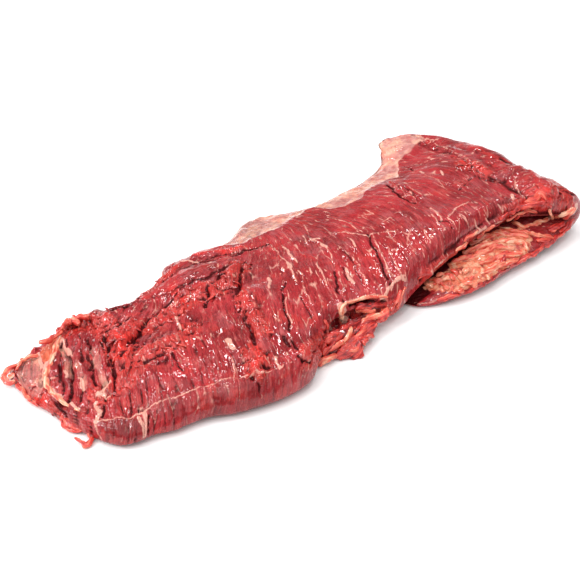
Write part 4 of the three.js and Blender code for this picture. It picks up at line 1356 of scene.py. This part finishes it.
def strips_piece(name, strips, material):
    """Joins several closed strips into one object."""
    vertices, polygons, uvs, tones = [], [], [], []
    for body, uv, tone in strips:
        count, around = body.shape[:2]
        first = len(vertices)
        vertices += body.reshape(-1, 3).tolist() + [body[0].mean(0).tolist(), body[-1].mean(0).tolist()]
        uvs += uv.reshape(-1, 2).tolist() + [uv[0].mean(0).tolist(), uv[-1].mean(0).tolist()]
        tones += tone.ravel().tolist() + [float(tone[0].mean()), float(tone[-1].mean())]
        polygons += (ring_faces(count, around) + first).tolist()
        polygons += [tuple(reversed(f)) for f in fan(first + count * around, first, around, False)]
        polygons += [
            tuple(reversed(f))
            for f in fan(first + count * around + 1, first + (count - 1) * around, around, True)
        ]
    piece = closed_mesh(name, vertices, [tuple(p) for p in polygons])
    give_attribute(piece, "paleness", tones)
    corners = np.zeros(len(piece.data.loops), np.int32)
    piece.data.loops.foreach_get("vertex_index", corners)
    layer = piece.data.uv_layers.new(name="fibre")
    layer.data.foreach_set("uv", (np.array(uvs)[corners] / 100).astype(np.float32).ravel())
    shade(piece, material)
    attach(piece, "root")
    print(name, "has", len(polygons), "faces")


# %% [markdown]
# ## Torn flesh as a material
#
# Strips and shreds run from deep red in their hollows to cream where they are fat. One number on
# each point, the attribute `paleness`, picks the colour from a ramp, and noise along the strip's
# own fibres moves it up and down. One material then does for flesh and fat alike.

# %% The torn flesh material
torn_flesh = Shader("torn_flesh")
paleness = torn_flesh.maths(
    "ADD",
    torn_flesh.attribute("paleness"),
    torn_flesh.ramp(torn_flesh.grain(1.3, 9, seed=2.0), 0.3, 0.75, -0.22, 0.20),
)
scale = torn_flesh.node("ValToRGB")
STOPS = [
    (0.0, (0.12, 0.003, 0.004)), (0.18, (0.34, 0.013, 0.014)), (0.38, (0.60, 0.040, 0.030)),
    (0.62, (0.74, 0.13, 0.080)), (0.80, (0.82, 0.30, 0.18)), (1.0, (0.90, 0.55, 0.38)),
]
while len(scale.color_ramp.elements) < len(STOPS):
    scale.color_ramp.elements.new(0.5)
for element, (position, tint) in zip(scale.color_ramp.elements, STOPS):
    element.position = position
    element.color = (*tint, 1)
torn_flesh.link(paleness, scale.inputs["Fac"])
torn_flesh.link(scale.outputs["Color"], torn_flesh.surface.inputs["Base Color"])
strip_bump = torn_flesh.node("Bump")
strip_bump.inputs["Strength"].default_value = 0.6
strip_bump.inputs["Distance"].default_value = 0.0016
torn_flesh.link(torn_flesh.grain(1.3, 6, seed=4.0), strip_bump.inputs["Height"])
torn_flesh.link(strip_bump.outputs["Normal"], torn_flesh.surface.inputs["Normal"])
torn_flesh.set(Specular_IOR_Level=0.3, Roughness=0.40, IOR=1.38)
torn_flesh.set(Subsurface_Weight=0.12, Subsurface_Scale=0.002, Subsurface_Radius=(1.0, 0.25, 0.16))
torn_flesh.set(Coat_Weight=0.8, Coat_Roughness=0.045, Coat_IOR=1.5)
print("torn flesh material has", len(torn_flesh.tree.nodes), "nodes")

# %% [markdown]
# ## The hollow under the near edge
#
# Here the meat is torn open. Dark strips lie at the back, redder and orange ones in front, and a
# pale cord of fat runs along the rim above. A strip is its tone and its stations. A station is a
# pixel, a height above the table or None where the strip lies on the meat, a half width and a
# thickness.

# %% The strips in the hollow under the near edge
POCKET_STRIPS = [
    (0.16, [(322, 358, 2, 2.6, 4), (332, 349, 3.5, 4.0, 5), (344, 340, 5, 4.6, 6),
            (356, 331, 6, 4.4, 6), (368, 324, 7, 3.6, 5), (380, 317, 8, 2.4, 4)]),
    (0.20, [(330, 344, 8, 3.0, 4), (340, 335, 9, 3.6, 5), (352, 326, 9, 3.6, 5),
            (364, 320, 9, 2.8, 4)]),
    (RED, [(336, 358, 2, 2.4, 3), (345, 354, 2.5, 4.5, 4), (353, 347, 4, 6.4, 5),
           (361, 339, 5.5, 6.0, 5), (369, 330, 7, 4.5, 4), (376, 323, 8, 2.4, 3)]),
    (0.42, [(340, 352, 4, 1.8, 3), (349, 344, 6, 2.4, 3), (359, 336, 7.5, 2.2, 3),
            (368, 328, 8.5, 1.4, 2)]),
    (0.55, [(336, 357, 2, 1.0, 2), (345, 353, 3, 1.3, 2.5), (354, 350, 4.5, 1.3, 2.5),
            (363, 348, 4, 1.0, 2)]),
    (0.34, [(352, 357, 1, 1.6, 2), (358, 352, 2, 2.4, 3), (364, 348, 3, 1.8, 2.5)]),
    (ORANGE, [(357, 325, 8, 1.6, 3), (365, 321, 9, 2.4, 3.6), (374, 318, 10, 2.6, 3.6),
              (383, 314, 11, 2.8, 3.6), (388, 308, 13, 1.4, 3)]),
    (0.44, [(376, 322, 8, 2.0, 3), (384, 319, 8, 2.0, 3), (388, 313, 10, 1.4, 2.5)]),
    (0.62, [(356, 312, 12, 1.2, 2.5), (366, 311, 13, 1.5, 2.6), (376, 311, 12.5, 1.3, 2.5)]),
    (0.7, [(344, 343, 8, 1.0, 2.4), (349, 335, 9.5, 1.4, 2.6), (352, 327, 11, 1.1, 2.2)]),
    (0.66, [(328, 351, 6, 1.0, 2.2), (337, 346, 7, 1.3, 2.6), (346, 340, 8, 1.2, 2.2)]),
    (0.6, [(318, 366, 1.5, 1.6, 3), (324, 361, 3, 2.0, 3.6), (330, 357, 4, 1.8, 3),
           (337, 356, 3, 1.2, 2.4)]),
    (0.38, [(316, 352, 7, 2.0, 3), (322, 344, 9, 2.8, 4), (330, 337, 11, 2.6, 4),
            (338, 332, 12.5, 1.6, 3)]),
    (0.76, [(313, 364, 2.5, 1.4, 2.6), (314, 356, 5, 1.8, 3), (318, 348, 7.5, 1.6, 3),
            (323, 341, 10, 1.2, 2.4)]),
    (0.3, [(322, 356, 4.5, 2.4, 4), (328, 349, 6.5, 3.0, 4.6), (335, 342, 8.5, 2.4, 4)]),
    (0.5, [(303, 364, 5, 1.4, 2.4), (308, 365, 5, 1.6, 2.6), (312, 370, 3.6, 1.6, 2.6),
           (309, 377, 2, 1.2, 2.4)]),
    (0.80, [(341, 324, None, 1.0, 1.6), (341, 316, None, 1.9, 2), (342, 308, None, 1.6, 2),
            (347, 303, None, 1.0, 1.6)]),
    (0.74, [(345, 304, None, 0.6, 1.4), (356, 300, None, 0.7, 1.6), (366, 297, None, 0.8, 1.8),
            (376, 296, None, 0.9, 1.8), (387, 297, None, 0.8, 1.6)]),
    (0.5, [(400, 290, None, 1.0, 2), (396, 300, None, 1.4, 2.5), (390, 311, None, 1.2, 2)]),
    (0.56, [(405, 286, None, 0.9, 2), (401, 297, None, 1.3, 2.5), (396, 308, None, 1.2, 2)]),
    (0.25, [(356, 309, 15, 1.6, 3), (364, 306, 16, 2.2, 4), (374, 306, 15, 2.2, 4),
            (382, 306, 14, 1.4, 3)]),
]
swept = [torn_strip(rows, tone, i + 1) for i, (tone, rows) in enumerate(POCKET_STRIPS)]
strips_piece("hollow_strips", swept, torn_flesh)

# %% [markdown]
# ## The tail
#
# The tail ends in a torn hook and loose strips, and a line of fat runs up over it. All of them
# are strips of the same kind, so only their stations differ.

# %% The strips round the tail
TAIL_STRIPS = [
    (0.62, [(17, 366, 5, 1.2, 2), (11, 368, 5, 1.5, 2.4), (5, 372, 4.5, 1.6, 2.4),
            (4, 378, 4, 1.6, 2.4), (9, 382, 3.5, 1.4, 2.2), (16, 381, 4, 1.2, 2)]),
    (0.78, [(15, 375, 4.5, 1.8, 1.2), (8, 375, 4.2, 1.8, 1.2)]),
    (0.40, [(84, 416, 6, 2.8, 3), (88, 424, 4, 3.4, 4), (92, 432, 2.5, 3.2, 4),
            (92, 439, 1.6, 2.4, 3)]),
    (0.5, [(93, 438, 1.6, 1.8, 2.6), (88, 444, 1.5, 1.9, 2.6), (82, 442, 1.5, 1.6, 2.4),
           (74, 440, 1.4, 1.0, 1.8)]),
    (0.5, [(17, 383, 4, 1.0, 2), (22, 391, 3.5, 1.3, 2.6), (29, 399, 3, 1.5, 2.8),
           (37, 404, 2.5, 1.6, 2.8), (46, 406, 2.5, 1.2, 2.4)]),
    (0.66, [(17, 370, 5, 1.0, 1.8), (21, 362, 6, 1.2, 2), (26, 358, 6.5, 1.2, 2),
            (38, 356, 7.5, 1.0, 1.8)]),
    (0.45, [(45, 400, 4, 1.6, 2.5), (49, 407, 3, 2.2, 3), (52, 410, 2, 1.4, 2)]),
    (0.4, [(54, 406, 5, 1.8, 3), (60, 414, 4, 2.4, 4), (68, 422, 3, 2.8, 4),
           (78, 427, 3, 2.8, 4), (88, 428, 3, 2.0, 3)]),
    (0.42, [(55, 412, 2, 1.0, 2), (61, 421, 2, 1.2, 2.2), (65, 427, 2, 1.2, 2.2),
            (74, 430, 2, 1.3, 2.2), (84, 431, 2, 1.0, 2)]),
    (0.5, [(38, 343, 10, 1.2, 2), (45, 342, 10, 1.6, 2.5), (54, 337, 10, 1.8, 3),
           (62, 330, 10, 1.4, 2)]),
    (0.5, [(62, 330, 11, 1.6, 3), (66, 323, 12, 2.2, 3.6), (73, 321, 12, 2.2, 3.6),
           (80, 325, 12, 1.5, 3)]),
    (0.45, [(75, 320, 12, 1.6, 3), (82, 317, 13, 2.0, 3.4), (90, 318, 13, 1.8, 3)]),
    (0.76, [(61, 335, None, 0.8, 1.6), (57, 347, None, 1.6, 2), (51, 362, None, 1.5, 2),
            (46, 373, None, 1.7, 2), (46, 383, None, 1.7, 2), (54, 394, None, 1.5, 2),
            (67, 404, None, 1.0, 1.6), (80, 411, None, 0.6, 1.2)]),
]
swept = [torn_strip(rows, tone, i + 40) for i, (tone, rows) in enumerate(TAIL_STRIPS)]
strips_piece("tail_strips", swept, torn_flesh)

# %% [markdown]
# ## The fold's corner and the flap
#
# At the fold's corner the meat gapes, with a cord of fat along its lower lip. On the flap, fat
# lies in soft folds side by side, and torn strips edge it towards the table.

# %% The strips at the fold's corner and the folds of fat on the flap
FOLD_STRIPS = [
    (0.36, [(500, 219, None, 1.2, 2.4), (512, 211, None, 2.0, 3.4), (525, 206, None, 2.4, 4),
            (537, 203, None, 2.6, 4), (545, 202, None, 1.6, 3)]),
    (0.50, [(524, 202, None, 1.2, 2.4), (534, 200, None, 1.8, 3), (541, 195, None, 2.0, 3),
            (546, 200, None, 1.4, 2.4)]),
    (0.66, [(506, 220, None, 0.8, 1.6), (516, 216, None, 1.0, 2), (526, 211, None, 1.2, 2),
            (537, 212, None, 0.8, 1.6)]),
    (0.78, [(512, 222, None, 0.8, 1.6), (521, 227, None, 1.5, 2.4), (531, 225, None, 1.5, 2.4),
            (543, 221, None, 1.3, 2.2), (554, 218, None, 1.3, 2.2), (564, 214, None, 1.6, 2.4),
            (573, 208, None, 1.4, 2)]),
    (0.70, [(564, 218, None, 2.0, 2.4), (570, 213, None, 3.2, 3), (574, 207, None, 2.2, 2.4)]),
    (0.78, [(549, 209, None, 0.8, 1.6), (551, 214, None, 1.1, 2), (552, 219, None, 0.9, 1.6)]),
    (0.32, [(548, 230, None, 1.8, 3), (556, 227, None, 2.6, 3.6), (564, 223, None, 1.8, 3)]),
    (0.36, [(559, 232, None, 1.4, 2.4), (565, 227, None, 1.6, 2.6), (568, 222, None, 1.0, 2)]),
    (0.66, [(498, 227, None, 1.2, 2), (512, 231, None, 1.6, 2.4), (526, 233, None, 1.8, 2.6),
            (540, 235, None, 1.6, 2.4), (556, 238, None, 1.2, 2)]),
    (0.34, [(536, 240, None, 1.6, 2.4), (547, 241, None, 1.8, 2.6), (556, 241, None, 1.2, 2)]),
    (0.62, [(470, 246, None, 1.6, 2.6), (484, 238, None, 2.2, 3), (499, 233, None, 2.4, 3),
            (514, 235, None, 1.8, 2.6), (528, 237, None, 1.2, 2)]),
    (0.68, [(462, 254, None, 1.6, 2.6), (478, 247, None, 2.2, 3), (495, 242, None, 2.4, 3),
            (510, 240, None, 1.8, 2.6)]),
    (0.74, [(505, 243, None, 1.4, 2.4), (515, 241, None, 2.2, 3), (524, 243, None, 2.0, 3),
            (526, 250, None, 1.4, 2.4)]),
    (0.64, [(468, 259, None, 1.6, 2.6), (484, 252, None, 2.2, 3), (500, 247, None, 2.2, 3),
            (514, 249, None, 1.4, 2.4)]),
    (0.58, [(480, 264, None, 1.4, 2.4), (494, 259, None, 2.2, 3), (510, 255, None, 2.2, 3),
            (522, 253, None, 1.4, 2.4)]),
    (0.66, [(482, 273, None, 1.4, 2.4), (496, 267, None, 2.2, 3), (509, 262, None, 1.8, 2.6),
            (518, 259, None, 1.2, 2)]),
    (0.30, [(501, 262, None, 1.0, 2), (504, 256, None, 1.9, 3), (508, 251, None, 1.2, 2)]),
    (0.62, [(452, 262, None, 1.4, 2.4), (464, 258, None, 1.8, 2.8), (474, 255, None, 1.4, 2.4)]),
    (0.34, [(520, 268, None, 1.2, 2), (534, 260, None, 2.0, 2.4), (548, 250, None, 2.2, 2.6),
            (560, 241, None, 1.6, 2.4)]),
    (0.30, [(552, 246, None, 1.4, 2), (562, 238, None, 2.0, 2.6), (570, 229, None, 2.0, 2.6),
            (574, 220, None, 1.2, 2)]),
    (0.45, [(556, 243, None, 0.8, 1.6), (566, 236, None, 1.2, 2), (572, 227, None, 1.0, 1.8)]),
    (0.27, [(470, 299, None, 1.2, 2), (488, 290, None, 1.8, 2.4), (506, 278, None, 1.7, 2.4),
            (520, 268, None, 1.0, 2)]),
    (0.38, [(437, 300, None, 1.0, 1.8), (448, 297, None, 1.7, 2), (459, 294, None, 1.2, 1.8)]),
    (0.62, [(455, 251, None, 0.8, 1.6), (461, 247, None, 1.5, 2.2), (467, 243, None, 1.0, 1.8)]),
    (0.52, [(476, 238, None, 0.9, 1.8), (486, 230, None, 1.6, 2.4), (494, 225, None, 1.2, 2)]),
    (0.66, [(464, 241, None, 0.6, 1.4), (471, 236, None, 1.0, 1.8), (478, 231, None, 0.7, 1.4)]),
]
swept = [torn_strip(rows, tone, i + 80) for i, (tone, rows) in enumerate(FOLD_STRIPS)]
strips_piece("fold_strips", swept, torn_flesh)

# %% [markdown]
# ## Shreds and fat lobes, scattered by Geometry Nodes
#
# Two things repeat here: small curled shreds where the meat is torn, and soft lobes of fat on the
# flap. One template each is enough. A node tree scatters it over a patch of the skin, turns and
# sizes every copy at random from a fixed seed, and ends in Realize Instances, so the result can be
# kept as a plain mesh. Scattering by hand or with particles would work too, but the node tree
# keeps the spacing and the size as named inputs.

# %% Templates and patches


def patch_of(name, chosen):
    """A copy of the steak's faces whose corners are all chosen."""
    flags = chosen.reshape(-1)
    kept = [q for q in quads.tolist() if flags[q[0]] and flags[q[1]] and flags[q[2]] and flags[q[3]]]
    used = sorted({i for q in kept for i in q})
    renumber = {old: new for new, old in enumerate(used)}
    return closed_mesh(name, points[used], [tuple(renumber[i] for i in q) for q in kept])


def template(name, body, uv):
    """A closed object from the rings of one small shape."""
    count, around = body.shape[:2]
    faces_in = [tuple(f) for f in ring_faces(count, around).tolist()]
    faces_in += [tuple(reversed(f)) for f in fan(count * around, 0, around, False)]
    faces_in += [tuple(reversed(f)) for f in fan(count * around + 1, (count - 1) * around, around, True)]
    vertices = np.concatenate([body.reshape(-1, 3), [body[0].mean(0)], [body[-1].mean(0)]])
    made = closed_mesh(name, vertices, faces_in)
    corners = np.zeros(len(made.data.loops), np.int32)
    made.data.loops.foreach_get("vertex_index", corners)
    flat_uv = np.concatenate([uv.reshape(-1, 2), [uv[0].mean(0)], [uv[-1].mean(0)]]) / 100
    layer = made.data.uv_layers.new(name="fibre")
    layer.data.foreach_set("uv", flat_uv[corners].astype(np.float32).ravel())
    return made


def curl_template():
    """A flat strip, bent into part of a circle, that lies on its side edge."""
    LENGTH, WIDTH, THICK, BEND = 9.0, 2.2, 0.8, 1.3
    s = np.linspace(0, 1, 13)[:, None]
    a = np.linspace(0, 2 * math.pi, 8, endpoint=False)[None, :]
    turn = BEND * (s - 0.5)
    radius = LENGTH / BEND
    taper = 0.35 + 0.65 * np.sqrt(np.clip(np.sin(math.pi * s), 0, 1))
    wide = np.cos(a) * WIDTH / 2 * taper * (1 + 0.35 * np.sin(11 * s + np.sign(np.cos(a))))
    thick = np.sin(a) * THICK / 2 * taper + 0.25 * np.sin(9 * s + 2 * a)
    x = (radius + thick) * np.sin(turn)
    z = (radius + thick) * np.cos(turn) - radius + 0.3
    y = wide + 0.8 * np.sin(4.2 * s)
    return template("curl", np.stack([x, y, z], 2), np.stack([wide, s * LENGTH + 0 * a], 2))


def lobe_template():
    """A soft, lumpy bean."""
    LENGTH, WIDTH, HEIGHT = 6.4, 3.8, 3.4
    s = np.linspace(0.02, 0.98, 17)[:, None]
    a = np.linspace(0, 2 * math.pi, 16, endpoint=False)[None, :]
    lumps = 1 + 0.16 * np.sin(7 * s + 2 * a) + 0.1 * np.sin(3 * a)
    taper = np.sqrt(np.clip(1 - (2 * s - 1) ** 2, 0, 1)) * lumps
    x = (s - 0.5) * LENGTH + 0 * a
    y = np.cos(a) * WIDTH / 2 * taper + 0.9 * np.sin(math.pi * s)
    z = np.sin(a) * HEIGHT / 2 * taper + 0.5
    uv = np.stack([np.cos(a) * 2 + 0 * s, s * LENGTH + 0 * a], 2)
    return template("lobe", np.stack([x, y, z], 2), uv)


# %% [markdown]
# ## The node tree
#
# Points are spread over the patch, at least a spacing apart. Each gets a random paleness, size
# and turn, then a copy of the template, and the copies become real faces at the end. In Blender
# the same nodes can be joined by hand in the Geometry Nodes editor.

# %% The scattering node tree


def random_between(tree, low, high, seed, is_vector=False):
    """A random value for every point, between the values of two sockets."""
    made = tree.nodes.new("FunctionNodeRandomValue")
    made.data_type = "FLOAT_VECTOR" if is_vector else "FLOAT"
    first = 0 if is_vector else 2
    tree.links.new(low, made.inputs[first])
    tree.links.new(high, made.inputs[first + 1])
    made.inputs["Seed"].default_value = seed
    return made.outputs[0 if is_vector else 1]


def scatter_tree(name, material):
    """The node tree, and the identifiers of its named inputs."""
    tree = bpy.data.node_groups.new(name, "GeometryNodeTree")
    face = tree.interface
    face.new_socket("Geometry", in_out="INPUT", socket_type="NodeSocketGeometry")
    sockets = {}
    for label, kind in (("Template", "NodeSocketObject"), ("Spacing", "NodeSocketFloat"),
                        ("Smallest", "NodeSocketFloat"), ("Largest", "NodeSocketFloat"),
                        ("Tilt", "NodeSocketFloat"), ("Palest", "NodeSocketFloat"),
                        ("Darkest", "NodeSocketFloat"), ("Seed", "NodeSocketInt")):
        sockets[label] = face.new_socket(label, in_out="INPUT", socket_type=kind).identifier
    face.new_socket("Geometry", in_out="OUTPUT", socket_type="NodeSocketGeometry")
    add = tree.nodes.new
    link = tree.links.new
    given = add("NodeGroupInput")
    spread = add("GeometryNodeDistributePointsOnFaces")
    spread.distribute_method = "POISSON"
    spread.inputs["Density Max"].default_value = 400000
    link(given.outputs["Geometry"], spread.inputs["Mesh"])
    link(given.outputs["Spacing"], spread.inputs["Distance Min"])
    link(given.outputs["Seed"], spread.inputs["Seed"])
    tint = random_between(tree, given.outputs["Darkest"], given.outputs["Palest"], 3)
    store = add("GeometryNodeStoreNamedAttribute")
    store.data_type = "FLOAT"
    store.domain = "POINT"
    store.inputs["Name"].default_value = "paleness"
    link(spread.outputs["Points"], store.inputs["Geometry"])
    link(tint, store.inputs["Value"])
    size = random_between(tree, given.outputs["Smallest"], given.outputs["Largest"], 5)
    lowest = add("ShaderNodeCombineXYZ")
    highest = add("ShaderNodeCombineXYZ")
    minus = add("ShaderNodeMath")
    minus.operation = "MULTIPLY"
    minus.inputs[1].default_value = -1
    link(given.outputs["Tilt"], minus.inputs[0])
    for axis in ("X", "Y"):
        link(minus.outputs[0], lowest.inputs[axis])
        link(given.outputs["Tilt"], highest.inputs[axis])
    highest.inputs["Z"].default_value = 6.283
    turn = random_between(tree, lowest.outputs[0], highest.outputs[0], 7, is_vector=True)
    as_rotation = add("FunctionNodeEulerToRotation")
    link(turn, as_rotation.inputs[0])
    rotate = add("FunctionNodeRotateRotation")
    rotate.rotation_space = "LOCAL"
    link(spread.outputs["Rotation"], rotate.inputs["Rotation"])
    link(as_rotation.outputs[0], rotate.inputs["Rotate By"])
    shape = add("GeometryNodeObjectInfo")
    link(given.outputs["Template"], shape.inputs["Object"])
    copies = add("GeometryNodeInstanceOnPoints")
    link(store.outputs["Geometry"], copies.inputs["Points"])
    link(shape.outputs["Geometry"], copies.inputs["Instance"])
    link(rotate.outputs[0], copies.inputs["Rotation"])
    link(size, copies.inputs["Scale"])
    realize = add("GeometryNodeRealizeInstances")
    link(copies.outputs["Instances"], realize.inputs["Geometry"])
    coat = add("GeometryNodeSetMaterial")
    coat.inputs["Material"].default_value = material
    link(realize.outputs["Geometry"], coat.inputs["Geometry"])
    out = add("NodeGroupOutput")
    link(coat.outputs["Geometry"], out.inputs["Geometry"])
    return tree, sockets


tree, sockets = scatter_tree("scatter", torn_flesh.material)
print("scattering tree has", len(tree.nodes), "nodes")

# %% [markdown]
# ## From the tree to a plain mesh
#
# The modifier's inputs are set by the identifiers of their sockets. The evaluated result is kept as
# a mesh, the modifier goes, and whatever would dip under the table is lifted to it.

# %% Keep what the tree makes


def scattered(name, patch, template_piece, tree, sockets, **inputs):
    """Scatters the template over the patch and keeps the result as a plain mesh."""
    modifier = patch.modifiers.new("scatter", "NODES")
    modifier.node_group = tree
    modifier[sockets["Template"]] = template_piece
    for label, value in inputs.items():
        modifier[sockets[label]] = value
    graph = bpy.context.evaluated_depsgraph_get()
    graph.update()
    mesh = bpy.data.meshes.new_from_object(patch.evaluated_get(graph))
    patch.modifiers.remove(modifier)
    piece = bpy.data.objects.new(name, mesh)
    bpy.context.scene.collection.objects.link(piece)
    mesh.name = name
    mesh.polygons.foreach_set("use_smooth", [True] * len(mesh.polygons))
    spots = np.zeros(len(mesh.vertices) * 3)
    mesh.vertices.foreach_get("co", spots)
    spots[2::3] = np.maximum(spots[2::3], 0)
    mesh.vertices.foreach_set("co", spots)
    bpy.data.objects.remove(patch)
    bpy.data.objects.remove(template_piece)
    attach(piece, "root")
    print(name, "has", len(mesh.polygons), "faces")


# %% [markdown]
# ## Shreds on the torn flesh, lobes on the flap
#
# The shreds lie at least 7 mm apart wherever the flesh is torn. The lobes are closer, and only on
# the part of the flap where the photograph shows fat in small beads.

# %% Scatter both
FLAP_LOBES = [
    (422, 288), (426, 281), (437, 275), (450, 274), (462, 270), (484, 271), (488, 282),
    (476, 290), (458, 294), (441, 292),
]
torn_patch = patch_of("torn_patch", (torn > 0.55) & on_upper)
scattered(
    "torn_shreds", torn_patch, curl_template(), tree, sockets,
    Spacing=7.0 * MM, Smallest=0.4, Largest=1.0, Tilt=0.4, Darkest=0.16, Palest=0.50, Seed=4,
)
flap_patch = patch_of("flap_patch", inside(FLAP_LOBES, on_flap_top))
scattered(
    "flap_fat_lobes", flap_patch, lobe_template(), tree, sockets,
    Spacing=3.6 * MM, Smallest=0.5, Largest=1.15, Tilt=0.5, Darkest=0.50, Palest=0.92, Seed=9,
)

# %% [markdown]
# ## The floor
#
# A wide white floor stands for the photograph's white ground. It is not part of the steak.

# %% Floor
floor_mesh = bpy.data.meshes.new("floor")
FLOOR_REACH = 40.0
floor_corners = [(x * FLOOR_REACH, y * FLOOR_REACH, 0) for x, y in ((-1, -1), (1, -1), (1, 1), (-1, 1))]
floor_mesh.from_pydata(floor_corners, [], [(0, 1, 2, 3)])
floor = bpy.data.objects.new("floor", floor_mesh)
floor.location.z = -0.0002
bpy.context.scene.collection.objects.link(floor)
paper = Shader("white_floor")
paper.set(Base_Color=(0.92, 0.92, 0.92, 1), Roughness=0.9, IOR=1.2)
shade(floor, paper)
print("floor reaches", FLOOR_REACH, "m each way")

# %% [markdown]
# ## Lights
#
# A soft light from the left shapes the meat, and a wide sun stands for a bright ceiling. Ten small
# lights round about are there for their reflections: each makes the small white glints that fresh
# meat has on its wet ridges.

# %% Lights


def soft_light(name, place, aim, size, power):
    """An area light at a place in metres, turned to its aim."""
    data = bpy.data.lights.new(name, "AREA")
    data.shape = "RECTANGLE"
    data.size, data.size_y = size
    data.energy = power
    lamp = bpy.data.objects.new(name, data)
    lamp.location = place
    lamp.rotation_mode = "QUATERNION"
    lamp.rotation_quaternion = (Vector(aim) - Vector(place)).to_track_quat("-Z", "Y")
    bpy.context.scene.collection.objects.link(lamp)


SOFTBOX_PLACE, SOFTBOX_SIZE, SOFTBOX_WATTS = (-1.25, 0.55, 1.2), (0.9, 0.9), 10
GLINT_SIZE, GLINT_WATTS = (0.13, 0.13), 2.4
soft_light("left_softbox", SOFTBOX_PLACE, (0, 0, 0), SOFTBOX_SIZE, SOFTBOX_WATTS)
GLINTS = [
    (-1.2, -0.1, 0.95), (-0.6, 0.9, 1.1), (0.25, 1.1, 1.35), (-0.25, 0.35, 1.6), (1.1, 0.5, 1.1),
    (-1.05, 0.45, 0.7), (-0.1, 1.3, 0.9), (0.5, 0.7, 1.4), (-0.8, -0.5, 1.3), (0.2, -0.3, 1.7),
]
for i, spot in enumerate(GLINTS):
    soft_light(f"glint_{i}", spot, (0, 0, 0), GLINT_SIZE, GLINT_WATTS)
sky_light = bpy.data.lights.new("soft_ceiling", "SUN")
sky_light.energy = 1.75
sky_light.angle = math.radians(95)
ceiling = bpy.data.objects.new("soft_ceiling", sky_light)
ceiling.rotation_euler = Vector((0.15, 0.30, -1)).to_track_quat("-Z", "Y").to_euler()
bpy.context.scene.collection.objects.link(ceiling)
world = bpy.data.worlds.new("studio")
world.use_nodes = True
world.node_tree.nodes["Background"].inputs["Color"].default_value = (1, 1, 1, 1)
world.node_tree.nodes["Background"].inputs["Strength"].default_value = 0.33
bpy.context.scene.world = world
bpy.context.scene.view_settings.view_transform = "Standard"
print(len(bpy.data.lights), "lights")
